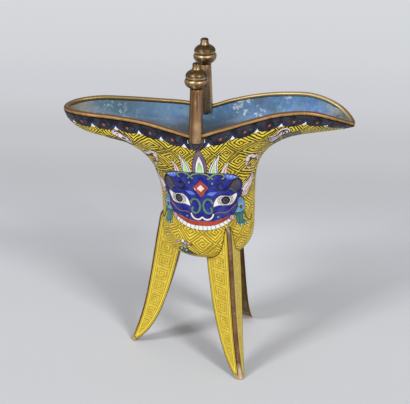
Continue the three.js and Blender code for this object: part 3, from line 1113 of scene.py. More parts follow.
    def on_wall(self, x: float, y: float, lift: float) -> Vector:
        """Point of the front face by its distances along the rows and the columns.

        Args:
            x: Distance from the front centre line, along the row.
            y: Distance above the foot of the flare, along the column.
            lift: Height above the face.

        Returns:
            The point in millimetres.
        """
        place, _, face, _ = self.index.ray_cast(Vector((x, y, 1)), Vector((0, 0, -1)))
        if face is None:
            place, _, face, _ = self.index.find_nearest(Vector((x, y, 0)))
        corners = self.flat_faces[face]
        a, b, c = (Vector(self.flat_points[k]) - place for k in corners)
        whole = (b - a).cross(c - a).z
        shares = [b.cross(c).z, c.cross(a).z, a.cross(b).z]
        grids = (self.front.reshape(-1, 3), self.front_normals.reshape(-1, 3))
        point, normal = (sum(grid[k] * s / whole for k, s in zip(corners, shares)) for grid in grids)
        return Vector(point + normal * lift)

    def under_rim(self, along: float, down: float, lift: float) -> Vector:
        """Point of the face by its distance along the rim and below it.

        Args:
            along: Distance along the rim from the tail, towards +Y.
            down: Distance below the rim, along the column.
            lift: Height above the face.

        Returns:
            The point in millimetres.
        """
        at = along / self.rim_length % 1 * self.columns
        first = int(at)
        total = np.zeros(3)
        for column, share in ((first, 1 - at + first), (first + 1, at - first)):
            lines = [grid[column % self.columns][::-1] for grid in (self.points, self.normals)]
            run = distances(lines[0])
            place = float(np.interp(down, run, np.arange(len(run))))
            low = min(int(place), len(run) - 2)
            rest = place - low
            point, normal = (line[low] * (1 - rest) + line[low + 1] * rest for line in lines)
            total += share * (point + normal * lift)
        return Vector(total)

    def shell_faces(
        self, offset: int, outwards: bool, rows: int, columns: int | None = None
    ) -> list[tuple[int, ...]]:
        """Faces of one side of a shell whose points start with the bottom's centre.

        Args:
            offset: Number of its first point.
            outwards: Whether the faces look out of the cup.
            rows: Rows of points above the centre.
            columns: Strips of faces, else all round.

        Returns:
            The faces.
        """
        faces = []
        for i in range(columns or self.columns):
            a, b = offset + 1 + i * rows, offset + 1 + (i + 1) % self.columns * rows
            faces.append((offset, b, a))
            faces += [(a + j, b + j, b + j + 1, a + j + 1) for j in range(rows - 1)]
        return faces if outwards else [face[::-1] for face in faces]

    def listed(self, grid: np.ndarray) -> list[tuple[float, ...]]:
        """Points of a grid as a list, the bottom's centre first and once."""
        return [tuple(grid[0, 0])] + [tuple(p) for p in grid[:, 1:].reshape(-1, 3)]

    def shell_points(self, depth: float, rows: int) -> list[tuple[float, ...]]:
        """Points of the lower rows of the face, moved inwards."""
        return self.listed((self.points - self.normals * depth)[:, : rows + 1])

    def layer(self, name: str, outer: float, inner: float) -> bpy.types.Object:
        """A coat of the wall between two depths, closed along the rim.

        Args:
            name: Name of the object.
            outer: Depth of its outer side.
            inner: Depth of its inner side.

        Returns:
            The object.
        """
        rows = self.points.shape[1] - 1
        count = 1 + self.columns * rows
        faces = self.shell_faces(0, True, rows) + self.shell_faces(count, False, rows)
        for i in range(self.columns):
            a, b = (i + 1) * rows, ((i + 1) % self.columns + 1) * rows
            faces.append((a, b, count + b, count + a))
        return shop.mesh(name, self.shell_points(outer, rows) + self.shell_points(inner, rows), faces)

    def plug(self) -> bpy.types.Object:
        """The filled lower cup, a little larger, which the legs are cut with.

        Returns:
            The closed tool object.
        """
        rows = self.bowl_rows + self.plug_rows
        points = self.shell_points(-self.plug_growth, rows)
        faces = self.shell_faces(0, True, rows)
        faces.append(tuple((i + 1) * rows for i in range(self.columns)))
        return shop.mesh("leg_cutter", points, faces)

    def flattened(self) -> np.ndarray:
        """Unwrap the front half with the least stretch.

        Returns:
            Flat places of its points in millimetres, upright along the front's centre line.
        """
        half = self.columns // 2
        rows = self.points.shape[1] - 1
        points = self.listed(self.front)
        pattern = shop.mesh("pattern", points, self.shell_faces(0, True, rows, half))
        shop.alone(pattern)
        pattern.data.uv_layers.new(name="flat")
        bpy.ops.object.mode_set(mode="EDIT")
        bpy.ops.mesh.select_all(action="SELECT")
        bpy.ops.uv.unwrap(method="MINIMUM_STRETCH", margin=0.0)
        bpy.ops.object.mode_set(mode="OBJECT")
        corner_uv = np.empty(len(pattern.data.loops) * 2, np.float32)
        pattern.data.uv_layers["flat"].uv.foreach_get("vector", corner_uv)
        flat = np.zeros((len(points), 2))
        flat[[loop.vertex_index for loop in pattern.data.loops]] = corner_uv.reshape(-1, 2)
        shop.remove(pattern)
        middle = 1 + half // 2 * rows
        foot = flat[middle + self.bowl_rows]
        rise = flat[middle + rows - 1] - foot
        scale = self.up[half // 2, -1] / np.linalg.norm(rise)
        angle = math.atan2(rise[0], rise[1])
        turn = np.array([[math.cos(angle), -math.sin(angle)], [math.sin(angle), math.cos(angle)]])
        flat = (flat - foot) @ turn.T * scale
        near_tail = (half - 3) * rows
        if flat[near_tail, 0] < 0:
            flat[:, 0] *= -1
        return flat

    def unroll(self, piece: bpy.types.Object) -> None:
        """Give the outer coat its map, the back half as a mirror image of the front half.

        Args:
            piece: The outer coat, whose points are those of layer().
        """
        flat = self.flattened()
        half = self.columns // 2
        rows = self.points.shape[1] - 1
        mesh = piece.data
        spots = np.array([loop.vertex_index for loop in mesh.loops])
        count = 1 + self.columns * rows
        spots = np.where(spots >= count, spots - count, spots)
        column, row = np.divmod(spots - 1, rows)
        steps = np.where((column == 0) & ~self.on_back(mesh), half, abs(column - half))
        found = np.where(spots == 0, 0, 1 + steps * rows + row)
        chosen = mesh.uv_layers.new(name="unrolled")
        chosen.uv.foreach_set("vector", flat[found].astype(np.float32).ravel())

    def on_back(self, mesh: bpy.types.Mesh) -> np.ndarray:
        """Whether each face corner belongs to a face on the +Y half.

        Args:
            mesh: The mesh, in place on the cup.

        Returns:
            One truth value for each face corner, in the mesh's order.
        """
        middles = np.empty(len(mesh.polygons) * 3, np.float32)
        mesh.polygons.foreach_get("center", middles)
        counts = np.empty(len(mesh.polygons), np.int32)
        mesh.polygons.foreach_get("loop_total", counts)
        return np.repeat(middles.reshape(-1, 3)[:, 1] > 0, counts)


@dataclass
class CupBody:
    """The cup itself: copper wall, outer and inner enamel, and the gilt band on its edge."""

    surface: CupSurface
    outer_coat: tuple[float, float] = (0.0, 0.6)
    copper_wall: tuple[float, float] = (0.7, 1.8)
    inner_coat: tuple[float, float] = (1.85, 2.4)
    band_half_width: float = 1.34
    band_half_height: float = 1.04
    band_lift: float = 0.05
    band_roundness: float = 0.8
    band_sides: int = 16
    crease: float = 60.0
    band_crease: float = 50.0

    def build(self) -> None:
        """Build and dress the layers and the band."""
        outer = self.surface.layer("enamel_outside", *self.outer_coat)
        self.surface.unroll(outer)
        shop.paint(outer, FretFinish())
        copper = self.surface.layer("copper_wall", *self.copper_wall)
        shop.paint(copper, Metal.COPPER)
        inner = self.surface.layer("enamel_lining", *self.inner_coat)
        shop.paint(inner, LiningFinish())
        for piece, slot, node in (
            (outer, "yellow_enamel", "outer_enamel"),
            (copper, "raw_copper", "copper_cup"),
            (inner, "blue_enamel", "inner_enamel"),
        ):
            shop.smooth(piece, self.crease)
            shop.hand_in(piece, slot, node)
        self.band()

    def band(self) -> None:
        """Build the band that covers the wall's edge."""
        depth = self.inner_coat[1] / 2
        line = self.surface.points[:, -1] - self.surface.normals[:, -1] * depth
        along = np.roll(line, -1, 0) - np.roll(line, 1, 0)
        out = np.column_stack([along[:, 1], -along[:, 0], np.zeros(len(line))])
        out /= np.linalg.norm(out, axis=1)[:, None]
        points, faces = [], []
        count, sides = len(line), self.band_sides
        for i in range(count):
            for j in range(sides):
                turn = -math.pi / 2 + j / sides * 2 * math.pi
                across = math.copysign(abs(math.cos(turn)) ** self.band_roundness, math.cos(turn))
                rise = self.band_lift + self.band_half_height * (1 + math.sin(turn))
                points.append(tuple(line[i] + out[i] * across * self.band_half_width + (0, 0, rise)))
                a, b = i * sides + j, (i + 1) % count * sides + j
                c, d = i * sides + (j + 1) % sides, (i + 1) % count * sides + (j + 1) % sides
                faces.append((a, b, d, c))
        band = shop.mesh("gilt_rim_band", points, faces)
        chosen = band.data.uv_layers.new(name="band")
        run = self.surface.rim_length / count
        for face in band.data.polygons:
            i, j = divmod(face.index, sides)
            for k, corner in zip(((0, 0), (1, 0), (1, 1), (0, 1)), face.loop_indices):
                chosen.data[corner].uv = ((j + k[1]) / sides, (i + k[0]) * run)
        shop.paint(band, BandFinish())
        shop.smooth(band, self.band_crease)
        shop.hand_in(band, "gilt_copper", "rim_band")


# ---------------------------------------------------------------------------------------------- ornament


def rounded(points: Sequence[Point2], closed: bool = True, step: float = 0.4) -> Outline:
    """Draw a smooth line through points; a third value of 1 keeps a point as a sharp corner.

    Args:
        points: Points of the line.
        closed: Whether it ends where it starts.
        step: Rough distance between the points given back.

    Returns:
        Closely spaced points.
    """
    spots = [Vector((p[0], p[1])) for p in points]
    sharp = [len(p) > 2 and bool(p[2]) for p in points]
    count = len(spots)
    drawn: Outline = []
    for i in range(count if closed else count - 1):
        j = (i + 1) % count
        start, end = spots[i], spots[j]
        first = closed or i > 0
        last = closed or j < count - 1
        before = start * 2 - end if sharp[i] or not first else spots[i - 1]
        after = end * 2 - start if sharp[j] or not last else spots[(j + 1) % count]
        pieces = max(1, round((end - start).length / step))
        for k in range(pieces):
            drawn.append(tuple(hermite(start, end, (end - before) / 2, (after - start) / 2, k / pieces)))
    if not closed:
        drawn.append(tuple(spots[-1]))
    return drawn


def brushed(points: Sequence[Point2], width: float, taper: float, cap: float = 0.8) -> Outline:
    """Outline of a thick line with round ends.

    Args:
        points: Points of its middle.
        width: Its width.
        taper: Share of the width that is lost by its last point.
        cap: How far its ends stand out, as a share of half of the width there.

    Returns:
        The outline.
    """
    middle = [Vector(p) for p in rounded(points, closed=False)]
    count = len(middle)
    left, right = [], []
    for i, point in enumerate(middle):
        along = (middle[min(i + 1, count - 1)] - middle[max(i - 1, 0)]).normalized()
        half = width / 2 * (1 - taper * i / (count - 1))
        side = Vector((-along.y, along.x)) * half
        left.append(point + side)
        right.append(point - side)
    start = middle[0] - (middle[1] - middle[0]).normalized() * width / 2 * cap
    end = middle[-1] + (middle[-1] - middle[-2]).normalized() * width / 2 * (1 - taper) * cap
    return [tuple(p) for p in [start, *left, end, *right[::-1]]]


def curled(
    x: float, y: float, size: float, start: float, turns: float, end_size: float, steps: int = 12
) -> Outline:
    """Points of a spiral curl.

    Args:
        x: Centre across.
        y: Centre up.
        size: Radius where it starts.
        start: Angle there, in degrees.
        turns: Turns that it makes, negative for clockwise.
        end_size: Radius where it ends.
        steps: Points to a turn.

    Returns:
        Points from the outside in.
    """
    count = int(abs(turns) * steps)
    spots = []
    for i in range(count + 1):
        share = i / count
        angle = math.radians(start) + share * turns * 2 * math.pi
        radius = size + (end_size - size) * share
        spots.append((x + radius * math.cos(angle), y + radius * math.sin(angle)))
    return spots


def twin(points: Sequence[Point2]) -> list[Point2]:
    """Follow a line that ends on the vertical with its mirror image, back to its start."""
    return [*points, *((-p[0], *p[1:]) for p in reversed(points[:-1]))]


def disc(x: float, y: float, radius: float, tall: float = 1.0, corners: int = 20) -> Outline:
    """Outline of a round or oval dot."""
    turns = [i / corners * 2 * math.pi for i in range(corners)]
    return [(x + radius * math.cos(a), y + radius * tall * math.sin(a)) for a in turns]


Placing = Callable[[float, float, float], Vector]


class Ornament:
    """Enamel cells and wires, drawn flat in millimetres and laid on the cup's face."""

    first_lift = 0.05
    step_lift = 0.035
    buried = 0.2
    spacing = 1.3
    clearance = 0.35
    wire_radius = 0.13
    thin_wire = 0.08
    crease = 35.0
    wire_crease = 80.0

    def __init__(self, name: str, place: Placing, twins: bool = False) -> None:
        """Start an ornament.

        Args:
            name: Name that its pieces start with.
            place: Turns flat coordinates and a lift into a point of the cup.
            twins: Whether what lies right of the vertical has a twin on its left.
        """
        self.name = name
        self.place = place
        self.twins = twins
        self.glasses: list[Glass] = []
        self.points: list[Vector] = []
        self.faces: list[tuple[int, ...]] = []
        self.slots: list[int] = []
        self.wires: dict[Metal, list[tuple[list[Vector], bool, float]]] = {}

    def lift(self, level: int) -> float:
        """Height of a level above the ground enamel."""
        return self.first_lift + level * self.step_lift

    def cell(
        self,
        glass: Glass,
        outline: Outline,
        level: int = 0,
        thick: float = wire_radius,
        metal: Metal = Metal.DARK_WIRE,
    ) -> None:
        """Lay a cell of enamel with a wire round it.

        Args:
            glass: Its colour.
            outline: Its closed outline.
            level: How many cells it lies above.
            thick: Radius of the wire, or 0 for none.
            metal: Metal of the wire.
        """
        self.fill(glass, outline, level)
        if thick:
            self.wire(outline, True, level, thick, metal)
        if self.twins and min(x for x, _ in outline) > 0:
            self.cell(glass, [(-x, y) for x, y in outline], level, thick, metal)

    def fill(self, glass: Glass, outline: Outline, level: int) -> None:
        """Add the solid of one cell.

        Args:
            glass: Its colour.
            outline: Its closed outline.
            level: How many cells it lies above.
        """
        if glass not in self.glasses:
            self.glasses.append(glass)
        slot = self.glasses.index(glass)
        corners = [Vector(p) for p in outline]
        border = [list(range(len(corners)))]
        flat, _, faces, *_ = delaunay_2d_cdt(corners + self.inner_points(outline), [], border, 1, 1e-4)
        base = len(self.points)
        count = len(flat)
        for height in (self.lift(level), self.lift(level) - self.buried):
            self.points += [self.place(p.x, p.y, height) for p in flat]
        edges: dict[tuple[int, int], None] = {}
        for face in faces:
            area = sum(flat[face[k - 1]].cross(flat[face[k]]) for k in range(len(face)))
            face = face if area > 0 else face[::-1]
            self.faces.append(tuple(base + k for k in face))
            self.faces.append(tuple(base + count + k for k in face[::-1]))
            edges.update(dict.fromkeys(zip(face, face[1:] + face[:1])))
        for a, b in edges:
            if (b, a) not in edges:
                self.faces.append((base + b, base + a, base + count + a, base + count + b))
        self.slots += [slot] * (len(self.faces) - len(self.slots))

    def inner_points(self, outline: Outline) -> list[Vector]:
        """Points spread inside an outline, so that a wide cell follows the cup's curve.

        Args:
            outline: The closed outline of a cell.

        Returns:
            The points, on the cup's face.
        """
        xs, ys = zip(*outline)
        count = len(outline)
        spots = []
        for i in range(int(min(xs) // self.spacing), int(max(xs) // self.spacing) + 1):
            for j in range(int(min(ys) // self.spacing), int(max(ys) // self.spacing) + 1):
                x, y = (i + 0.5 * (j % 2)) * self.spacing, j * self.spacing
                inside, near = False, 9.0
                for k in range(count):
                    (x1, y1), (x2, y2) = outline[k - 1], outline[k]
                    if (y1 > y) != (y2 > y) and x < (x2 - x1) * (y - y1) / (y2 - y1) + x1:
                        inside = not inside
                    near = min(near, math.hypot(x - x1, y - y1))
                if inside and near > self.spacing * self.clearance:
                    spots.append(Vector((x, y)))
        return spots

    def wire(
        self, line: Outline, closed: bool, level: int, thick: float, metal: Metal = Metal.DARK_WIRE
    ) -> None:
        """Lay a wire of a radius along a line, at the level of the cell that it borders."""
        points = [self.place(x, y, self.lift(level)) for x, y in line]
        self.wires.setdefault(metal, []).append((points, closed, thick))

    def dot(self, glass: Glass, x: float, y: float, radius: float, level: int = 1) -> None:
        """Lay a round cell with a thin wire."""
        self.cell(glass, disc(x, y, radius), level, self.thin_wire)

    def stroke(
        self,
        glass: Glass,
        points: Sequence[Point2],
        width: float,
        level: int = 1,
        taper: float = 0.0,
        wired: bool = False,
    ) -> None:
        """Lay a thick line of enamel that loses a share of its width, its taper, by its end."""
        self.cell(glass, brushed(points, width, taper), level, self.thin_wire * wired)

    def build(self, both_faces: bool = True) -> None:
        """Make the objects of the ornament.

        Args:
            both_faces: Whether the back of the cup has the mirror image.
        """
        sides = ((1, "front"), (-1, "back")) if both_faces else ((1, "all"),)
        for sign, side in sides:
            points = [(p.x, p.y * sign, p.z) for p in self.points]
            faces = self.faces if sign > 0 else [face[::-1] for face in self.faces]
            cells = shop.mesh(f"{self.name}_cells_{side}", points, faces)
            shop.paint(cells, *self.glasses)
            cells.data.polygons.foreach_set("material_index", self.slots)
            shop.smooth(cells, self.crease)
            shop.hand_in(cells, "yellow_enamel")
            for metal, lines in self.wires.items():
                self.wire_object(f"{self.name}_{metal.value.name}_{side}", metal, lines, sign)

    def wire_object(
        self, name: str, metal: Metal, lines: list[tuple[list[Vector], bool, float]], sign: int
    ) -> None:
        """Make one object of all the wires of a metal.

        Args:
            name: Name of the object.
            metal: Metal of the wires.
            lines: Points, whether closed, and radius of each.
            sign: -1 for the mirror image on the back.
        """
        curve = bpy.data.curves.new(name, "CURVE")
        curve.dimensions = "3D"
        curve.bevel_depth = 1.0
        curve.bevel_resolution = 0
        curve.use_fill_caps = True
        for points, closed, thick in lines:
            spline = curve.splines.new("POLY")
            spline.points.add(len(points) - 1)
            for spot, point in zip(spline.points, points):
                spot.co = ((point.x + AXIS_X) * MM, point.y * sign * MM, point.z * MM, 1)
                spot.radius = thick * MM
            spline.use_cyclic_u = closed
        piece = bpy.data.objects.new(name, curve)
        bpy.context.collection.objects.link(piece)
        shop.alone(piece)
        bpy.ops.object.convert(target="MESH")
        piece = bpy.context.view_layer.objects.active
        shop.paint(piece, metal)
        shop.outwards(piece)
        shop.smooth(piece, self.wire_crease)
        shop.hand_in(piece, "gilt_copper")


@dataclass
class BeastMask:
    """The beast mask with its crest, paws and flames, about a centre line that leans a little."""

    surface: CupSurface
    lean: float = -0.055
    tilt: float = 0.005
    teeth: int = 14
    pupil: tuple[float, float] = (12.05, 10.6)
    lip_top: tuple = ((-13.3, 1.8, 1), (-11.5, 1.5), (-8, 0.6), (-4, -0.05), (0, -0.05))
    lip_foot: tuple = (
        (-13.75, 0.9, 1), (-11.35, -0.1), (-8.75, -1.15), (-5.9, -2), (-3, -2.3), (0, -2.35),
    )
    tooth_foot: tuple = (
        (-15, -0.3, 1), (-12.6, -1.9), (-10, -3), (-6.5, -4.2), (-3, -4.75), (0, -4.9),
    )

    def place(self, x: float, y: float, lift: float) -> Vector:
        """Point of the cup's face for a point of the mask's own drawing."""
        return self.surface.on_wall(x + self.lean * y, y + self.tilt * x, lift)

    def build(self) -> None:
        """Draw and lay the mask."""
        drawing = Ornament("mask", self.place, twins=True)
        self.field(drawing)
        self.brow(drawing)
        self.eyes(drawing)
        self.nose(drawing)
        self.mouth(drawing)
        self.paws(drawing)
        drawing.build()
        crest = Ornament("crest", self.place, twins=True)
        self.crest(crest)
        crest.build()

    def field(self, drawing: Ornament) -> None:
        """Cobalt field with its pale corners, scrolls, diamond and dots.

        Args:
            drawing: The ornament to draw in.
        """
        half = [
            (0, 25.0), (8.7, 25.1), (12, 24.8), (15, 24.3), (17.6, 23.4), (19.3, 22.2), (20.6, 20.7),
            (21.5, 19.2), (21.9, 16.9), (21.7, 13.0), (20.6, 11.4), (19.4, 10.2), (18.6, 7.4),
            (17.4, 4.3), (15.2, 1.8), (12.7, 1.3), (8.9, 0.5), (4, -0.1), (0, -0.2),
        ]
        drawing.cell(Glass.COBALT, rounded(twin(half)[:-1]), 0, 0.16)
        corner = [
            (12.4, 24.4), (14.8, 24.0), (17.4, 23.1), (18.8, 22.3), (19.3, 21.5), (17.8, 21.3),
            (16, 21.3), (14.4, 21.6), (12.9, 22.6),
        ]
        drawing.cell(Glass.SKY, rounded(corner), 1, 0)
        for x, y, radius in ((13.9, 23.4, 0.4), (15.6, 22.9, 0.55), (17.5, 22.3, 0.5)):
            drawing.cell(Glass.MIST, disc(x, y, radius), 2, 0)
        middle = [(3.7, 22.2), (4.8, 22.8), (4.6, 23.5), (3.6, 24.3), (2, 24.8), (0, 25.0)]
        drawing.stroke(Glass.SCROLL, twin(middle), 0.75, 2, wired=True)
        side = [
            (6.4, 22.1), (5.3, 23.2), (6.1, 24), (7.5, 24.7), (9, 24.9), (10.4, 24.7), (11.7, 24),
            (12.1, 23.1), (11.5, 22.2), (10.8, 22.3),
        ]
        drawing.stroke(Glass.SCROLL, side, 0.75, 3, wired=True)
        diamond = [(0, 21.5, 1), (1.5, 19.5), (3.85, 17.4, 1), (2.3, 15.9), (0, 12.6, 1)]
        drawing.cell(Glass.RED, rounded(twin(diamond)[:-1]), 1, 0.1, Metal.GOLD_WIRE)
        heart = [(0, 19.0, 1), (0.95, 18.2), (1.95, 17.15, 1), (0.85, 16.25), (0, 15.3, 1)]
        drawing.cell(Glass.IVORY, rounded(twin(heart)[:-1]), 2, 0.06, Metal.GOLD_WIRE)
        drawing.dot(Glass.SCROLL, 5.9, 19.8, 0.6)
        drawing.dot(Glass.AQUA, 7.75, 2.1, 0.6)

    def brow(self, drawing: Ornament) -> None:
        """Slate brows that end in black curls.

        Args:
            drawing: The ornament to draw in.
        """
        wide = [
            (17.1, 20.5), (18.7, 20.6), (20.3, 19.5), (20.6, 17.7), (19.8, 16.1), (18.7, 14.6),
            (17.3, 13.8), (16, 15.3), (15, 16.6), (14.5, 17), (16, 18.9),
        ]
        drawing.cell(Glass.SLATE, rounded(wide), 1, 0)
        rim = [
            (14.7, 18), (16, 19.9), (17.7, 21.1), (19.6, 20.9), (21.2, 19.2), (21.7, 17.2), (21.1, 15.5),
            (19.9, 14.1), (18.9, 13.5),
        ]
        curl = [
            (14.9, 17.5), (13.1, 16.5), (11.6, 16), (9.9, 16.1), (8.6, 16.9), (8.4, 18.2), (9.2, 19.4),
            (10.4, 19.8), (11.2, 19.2), (10.8, 18.5),
        ]
        for line in (rim, curl):
            drawing.stroke(Glass.BLACK, line, 0.9, 2)
        low = [(14.2, 16.7), (15.5, 16.2), (16.6, 14.9), (17.6, 13.9)]
        drawing.stroke(Glass.OLIVE, low, 0.4, 3)
        leaf = [
            (8.1, 15.2, 1), (6.1, 15.3), (4.3, 15.1), (2.8, 14, 1), (4.5, 13.5), (5.9, 13.6), (7, 14.4),
        ]
        drawing.cell(Glass.SKY, rounded(leaf), 1, 0)

    def eyes(self, drawing: Ornament) -> None:
        """Long white eyes with ringed pupils.

        Args:
            drawing: The ornament to draw in.
        """
        eye = [
            (5.7, 7.5, 1), (6, 9.2), (6.65, 10.75), (7.9, 12.2), (9.4, 13.1), (11.25, 13.15),
            (13.4, 12.75), (15.5, 12.55), (16.95, 13.05), (18.4, 13.45, 1), (18.3, 11.95), (17.3, 10.2),
            (15.95, 8.7), (14.35, 7.95), (12.6, 7.8), (10.7, 8), (8.75, 8.3), (7.4, 8),
        ]
        drawing.cell(Glass.WHITE, rounded(eye), 1, 0.09, Metal.GOLD_WIRE)
        x, y = self.pupil
        for radius, reach in ((3.25, 52), (3.95, 34)):
            for middle in (0, 180):
                turns = [math.radians(middle - reach + k * reach / 4) for k in range(9)]
                arc = [(x + radius * math.cos(a), y + radius * 0.8 * math.sin(a)) for a in turns]
                drawing.stroke(Glass.PINE, arc, 0.28, 2)
        drawing.cell(Glass.WHITE, disc(x, y, 2.75, 0.92), 2, 0.07)
        drawing.cell(Glass.BLACK, disc(x, y, 2.35, 0.92), 3, 0)
        drawing.cell(Glass.SLATE, disc(x, y, 1.45, 0.92), 4, 0)
        drawing.cell(Glass.BLACK, disc(x, y, 0.55), 5, 0)

    def nose(self, drawing: Ornament) -> None:
        """Jade nostril scrolls, cheek lines and the white moustache.

        Args:
            drawing: The ornament to draw in.
        """
        scroll = [
            (5.3, 9.3), (5, 10.6), (3.85, 11.4), (2.55, 11.45), (1.3, 10.1), (0.8, 8.3), (1.1, 6.2),
            (2.2, 4.6), (3.7, 4.2), (4.8, 5), (4.85, 6.3), (4.4, 7.1),
        ]
        drawing.stroke(Glass.JADE, scroll, 1.15, 2, wired=True)
        cheek = [
            (18.2, 7.6), (16.5, 6.8), (15.1, 5.8), (13.8, 4.9), (12.2, 4.2), (10.6, 4.1), (9, 4.4),
            (7.6, 4.4), (6.4, 4),
        ]
        drawing.stroke(Glass.TAN, cheek, 0.6, 2, wired=True)
        beard = twin([(5.5, 3.8), (5.1, 2.6), (4, 1.35), (2.4, 0.9), (1.1, 1.2), (0, 2.1)])
        drawing.stroke(Glass.PINK, beard, 1.05, 3, wired=True)
        drawing.stroke(Glass.WHITE, beard, 0.5, 4)

    def mouth(self, drawing: Ornament) -> None:
        """Red lip over a row of teeth, with a curl at each end.

        Args:
            drawing: The ornament to draw in.
        """
        halves = (self.lip_top, self.lip_foot, self.tooth_foot)
        top, foot, bite = (rounded(twin(line), False) for line in halves)
        drawing.cell(Glass.RED, top + foot[::-1], 2, 0.09, Metal.GOLD_WIRE)
        drawing.cell(Glass.WHITE, foot + bite[::-1], 1, 0.13)
        for i in range(1, self.teeth):
            share = i / self.teeth
            start, end = foot[round(share * (len(foot) - 1))], bite[round(share * (len(bite) - 1))]
            drawing.wire(np.linspace(start, end, 5), False, 1, 0.11)
        drawing.cell(Glass.PINK, disc(14.9, 0.9, 1.45), 3, 0.1)
        drawing.stroke(Glass.WHITE, curled(14.9, 0.9, 1.0, 200, -1.1, 0.2), 0.5, 4, wired=True)

    def paws(self, drawing: Ornament) -> None:
        """Scaly forelegs with claws beside the cheeks, a vine behind them and flames above.

        Args:
            drawing: The ornament to draw in.
        """
        vine = [(23.2, 1.4), (24.4, -1.4), (26.3, -3.3), (28.6, -3.9), (29.7, -2.9), (29.2, -1.5)]
        drawing.stroke(Glass.OLIVE, vine, 0.8, 1, 0.3, wired=True)
        arm = [
            (18.8, 10.3), (20.4, 10.9), (22.1, 9.8), (23, 7.2), (23.6, 4.3), (22.8, 2.2), (19.6, 1.9),
            (16.8, 2.2), (17.2, 4.2), (18.5, 5.5), (18.4, 8.8),
        ]
        drawing.cell(Glass.AQUA, rounded(arm), 1, 0.13)
        drawing.stroke(Glass.MIST, curled(20.5, 8.9, 1.25, 150, -1.25, 0.3), 0.5, 2, wired=True)
        for line in (
            [(19.0, 6.4), (20.3, 6.9), (21.9, 6.4)],
            [(17.9, 3.2), (19.1, 4.2), (19.3, 5.4)],
            [(21.6, 3.4), (22.4, 4.6)],
        ):
            drawing.stroke(Glass.ICE, line, 0.55, 2, wired=True)
        drawing.cell(Glass.NAVY, disc(20.7, 5.2, 0.95), 2, 0)
        drawing.dot(Glass.RED, 20.7, 5.2, 0.55, 3)
        hand = [
            (17.2, 3.0), (20, 2.4), (22.9, 3.0), (21.8, 0.4), (22, -1.6), (24, -3.6), (24.3, -4.9),
            (22.9, -5.1), (21.3, -3.2), (20.9, -4.9), (19.6, -4.6), (19.3, -2.6), (18.5, -3.7),
            (17.6, -3.7), (17.7, -1), (17.4, 0.9),
        ]
        drawing.cell(Glass.TEAL, rounded(hand), 2, 0.12)
        drawing.stroke(Glass.PINE, [(19.0, 1.4), (19.6, -0.6), (19.3, -2.0)], 0.4, 3)
        for x, y in ((18.0, -3.3), (20.3, -4.4), (23.4, -4.6)):
            drawing.cell(Glass.ICE, disc(x, y, 0.5, 1.4), 3, 0.06)
        self.flames(drawing)

    def flames(self, drawing: Ornament) -> None:
        """Pale flame scrolls beside the brows.

        Args:
            drawing: The ornament to draw in.
        """
        outer = [
            (21.9, 11.6), (21.6, 12.8), (22.2, 13.6), (21.1, 15.1), (21.6, 16.2), (22.6, 17.3),
            (24.1, 18.1), (26.1, 18.6), (27.9, 20), (29, 21.4), (31, 21.1), (32, 19.2), (31.1, 17.3),
            (29.6, 15.9), (28.3, 14.5), (27, 13), (25.9, 11.5), (24.1, 10.7), (22.8, 10.9),
        ]
        drawing.cell(Glass.IVORY, rounded(outer), 1, 0.13)
        for line in (
            [(22.3, 15.3), (23.2, 16.7), (24.8, 17.4), (26.5, 17.8), (28.5, 18.6)],
            [(24.1, 14), (25.5, 15.2), (27.3, 16.5), (30, 17.5)],
            [(24.8, 12.1), (26.2, 13.5), (27.8, 14.9)],
        ):
            drawing.stroke(Glass.PLUM, line, 0.5, 2, 0.3)
        for x, y, radius in ((23.4, 12.4, 1.0), (30.2, 19.6, 1.2)):
            drawing.cell(Glass.PINK, disc(x, y, radius), 2, 0.07)

    def crest(self, drawing: Ornament) -> None:
        """Upright leaves over the mask.

        Args:
            drawing: The ornament to draw in.
        """
        plume = [(3.8, 25.3, 1), (3.7, 28), (3.5, 30), (2.9, 32.5), (1.8, 35.3), (0, 38.0, 1)]
        down = [(2.1, 25.3, 1), (2.0, 28), (1.5, 30.8), (0.5, 33.5), (0, 34.8, 1)]
        quill = [(1.3, 25.3, 1), (1.2, 27), (0.9, 28.8), (0, 31.0, 1)]
        for glass, line, level, thick in (
            (Glass.PLUM, plume, 1, 0.13),
            (Glass.WHITE, down, 2, 0.08),
            (Glass.LEAF, quill, 3, 0.07),
        ):
            drawing.cell(glass, rounded(twin(line)), level, thick)
        tall = [
            (4.4, 25.2, 1), (4.9, 27.5), (6, 29.8), (7.4, 32.1), (9, 33.9), (10.7, 36.2, 1), (10.4, 34),
            (10.1, 32.8), (9.6, 30.9), (9.4, 28.2), (9.1, 24.9, 1),
        ]
        drawing.cell(Glass.WHITE, rounded(tall), 0, 0.12)
        core = [(5.9, 25.2, 1), (6.65, 27.9), (7.6, 29.9), (8.1, 30.6, 1), (8.15, 28), (7.8, 25.1, 1)]
        drawing.cell(Glass.LEAF, rounded(core), 1, 0)
        drawing.stroke(Glass.PLUM, [(5.2, 25.5), (6.1, 28.2), (7.7, 31.3), (9.6, 34.3)], 0.4, 2, 0.3)
        drawing.stroke(Glass.PLUM, [(8.65, 25.2), (8.75, 29.5), (9.2, 32.5)], 0.4, 2, 0.3)
        short = [
            (10.3, 24.8, 1), (11.05, 26.5), (12, 28.2), (13.5, 29.8), (15.35, 31.8, 1), (14.5, 29.1),
            (13.8, 27), (13.5, 24.3, 1),
        ]
        drawing.cell(Glass.IVORY, rounded(short), 0, 0.12)
        vein = [(12, 24.8), (12.7, 26.8), (13.8, 28.9)]
        drawing.stroke(Glass.PINK, vein, 0.9, 1, 0.6)
        drawing.stroke(Glass.TAN, vein, 0.3, 2, 0.3)


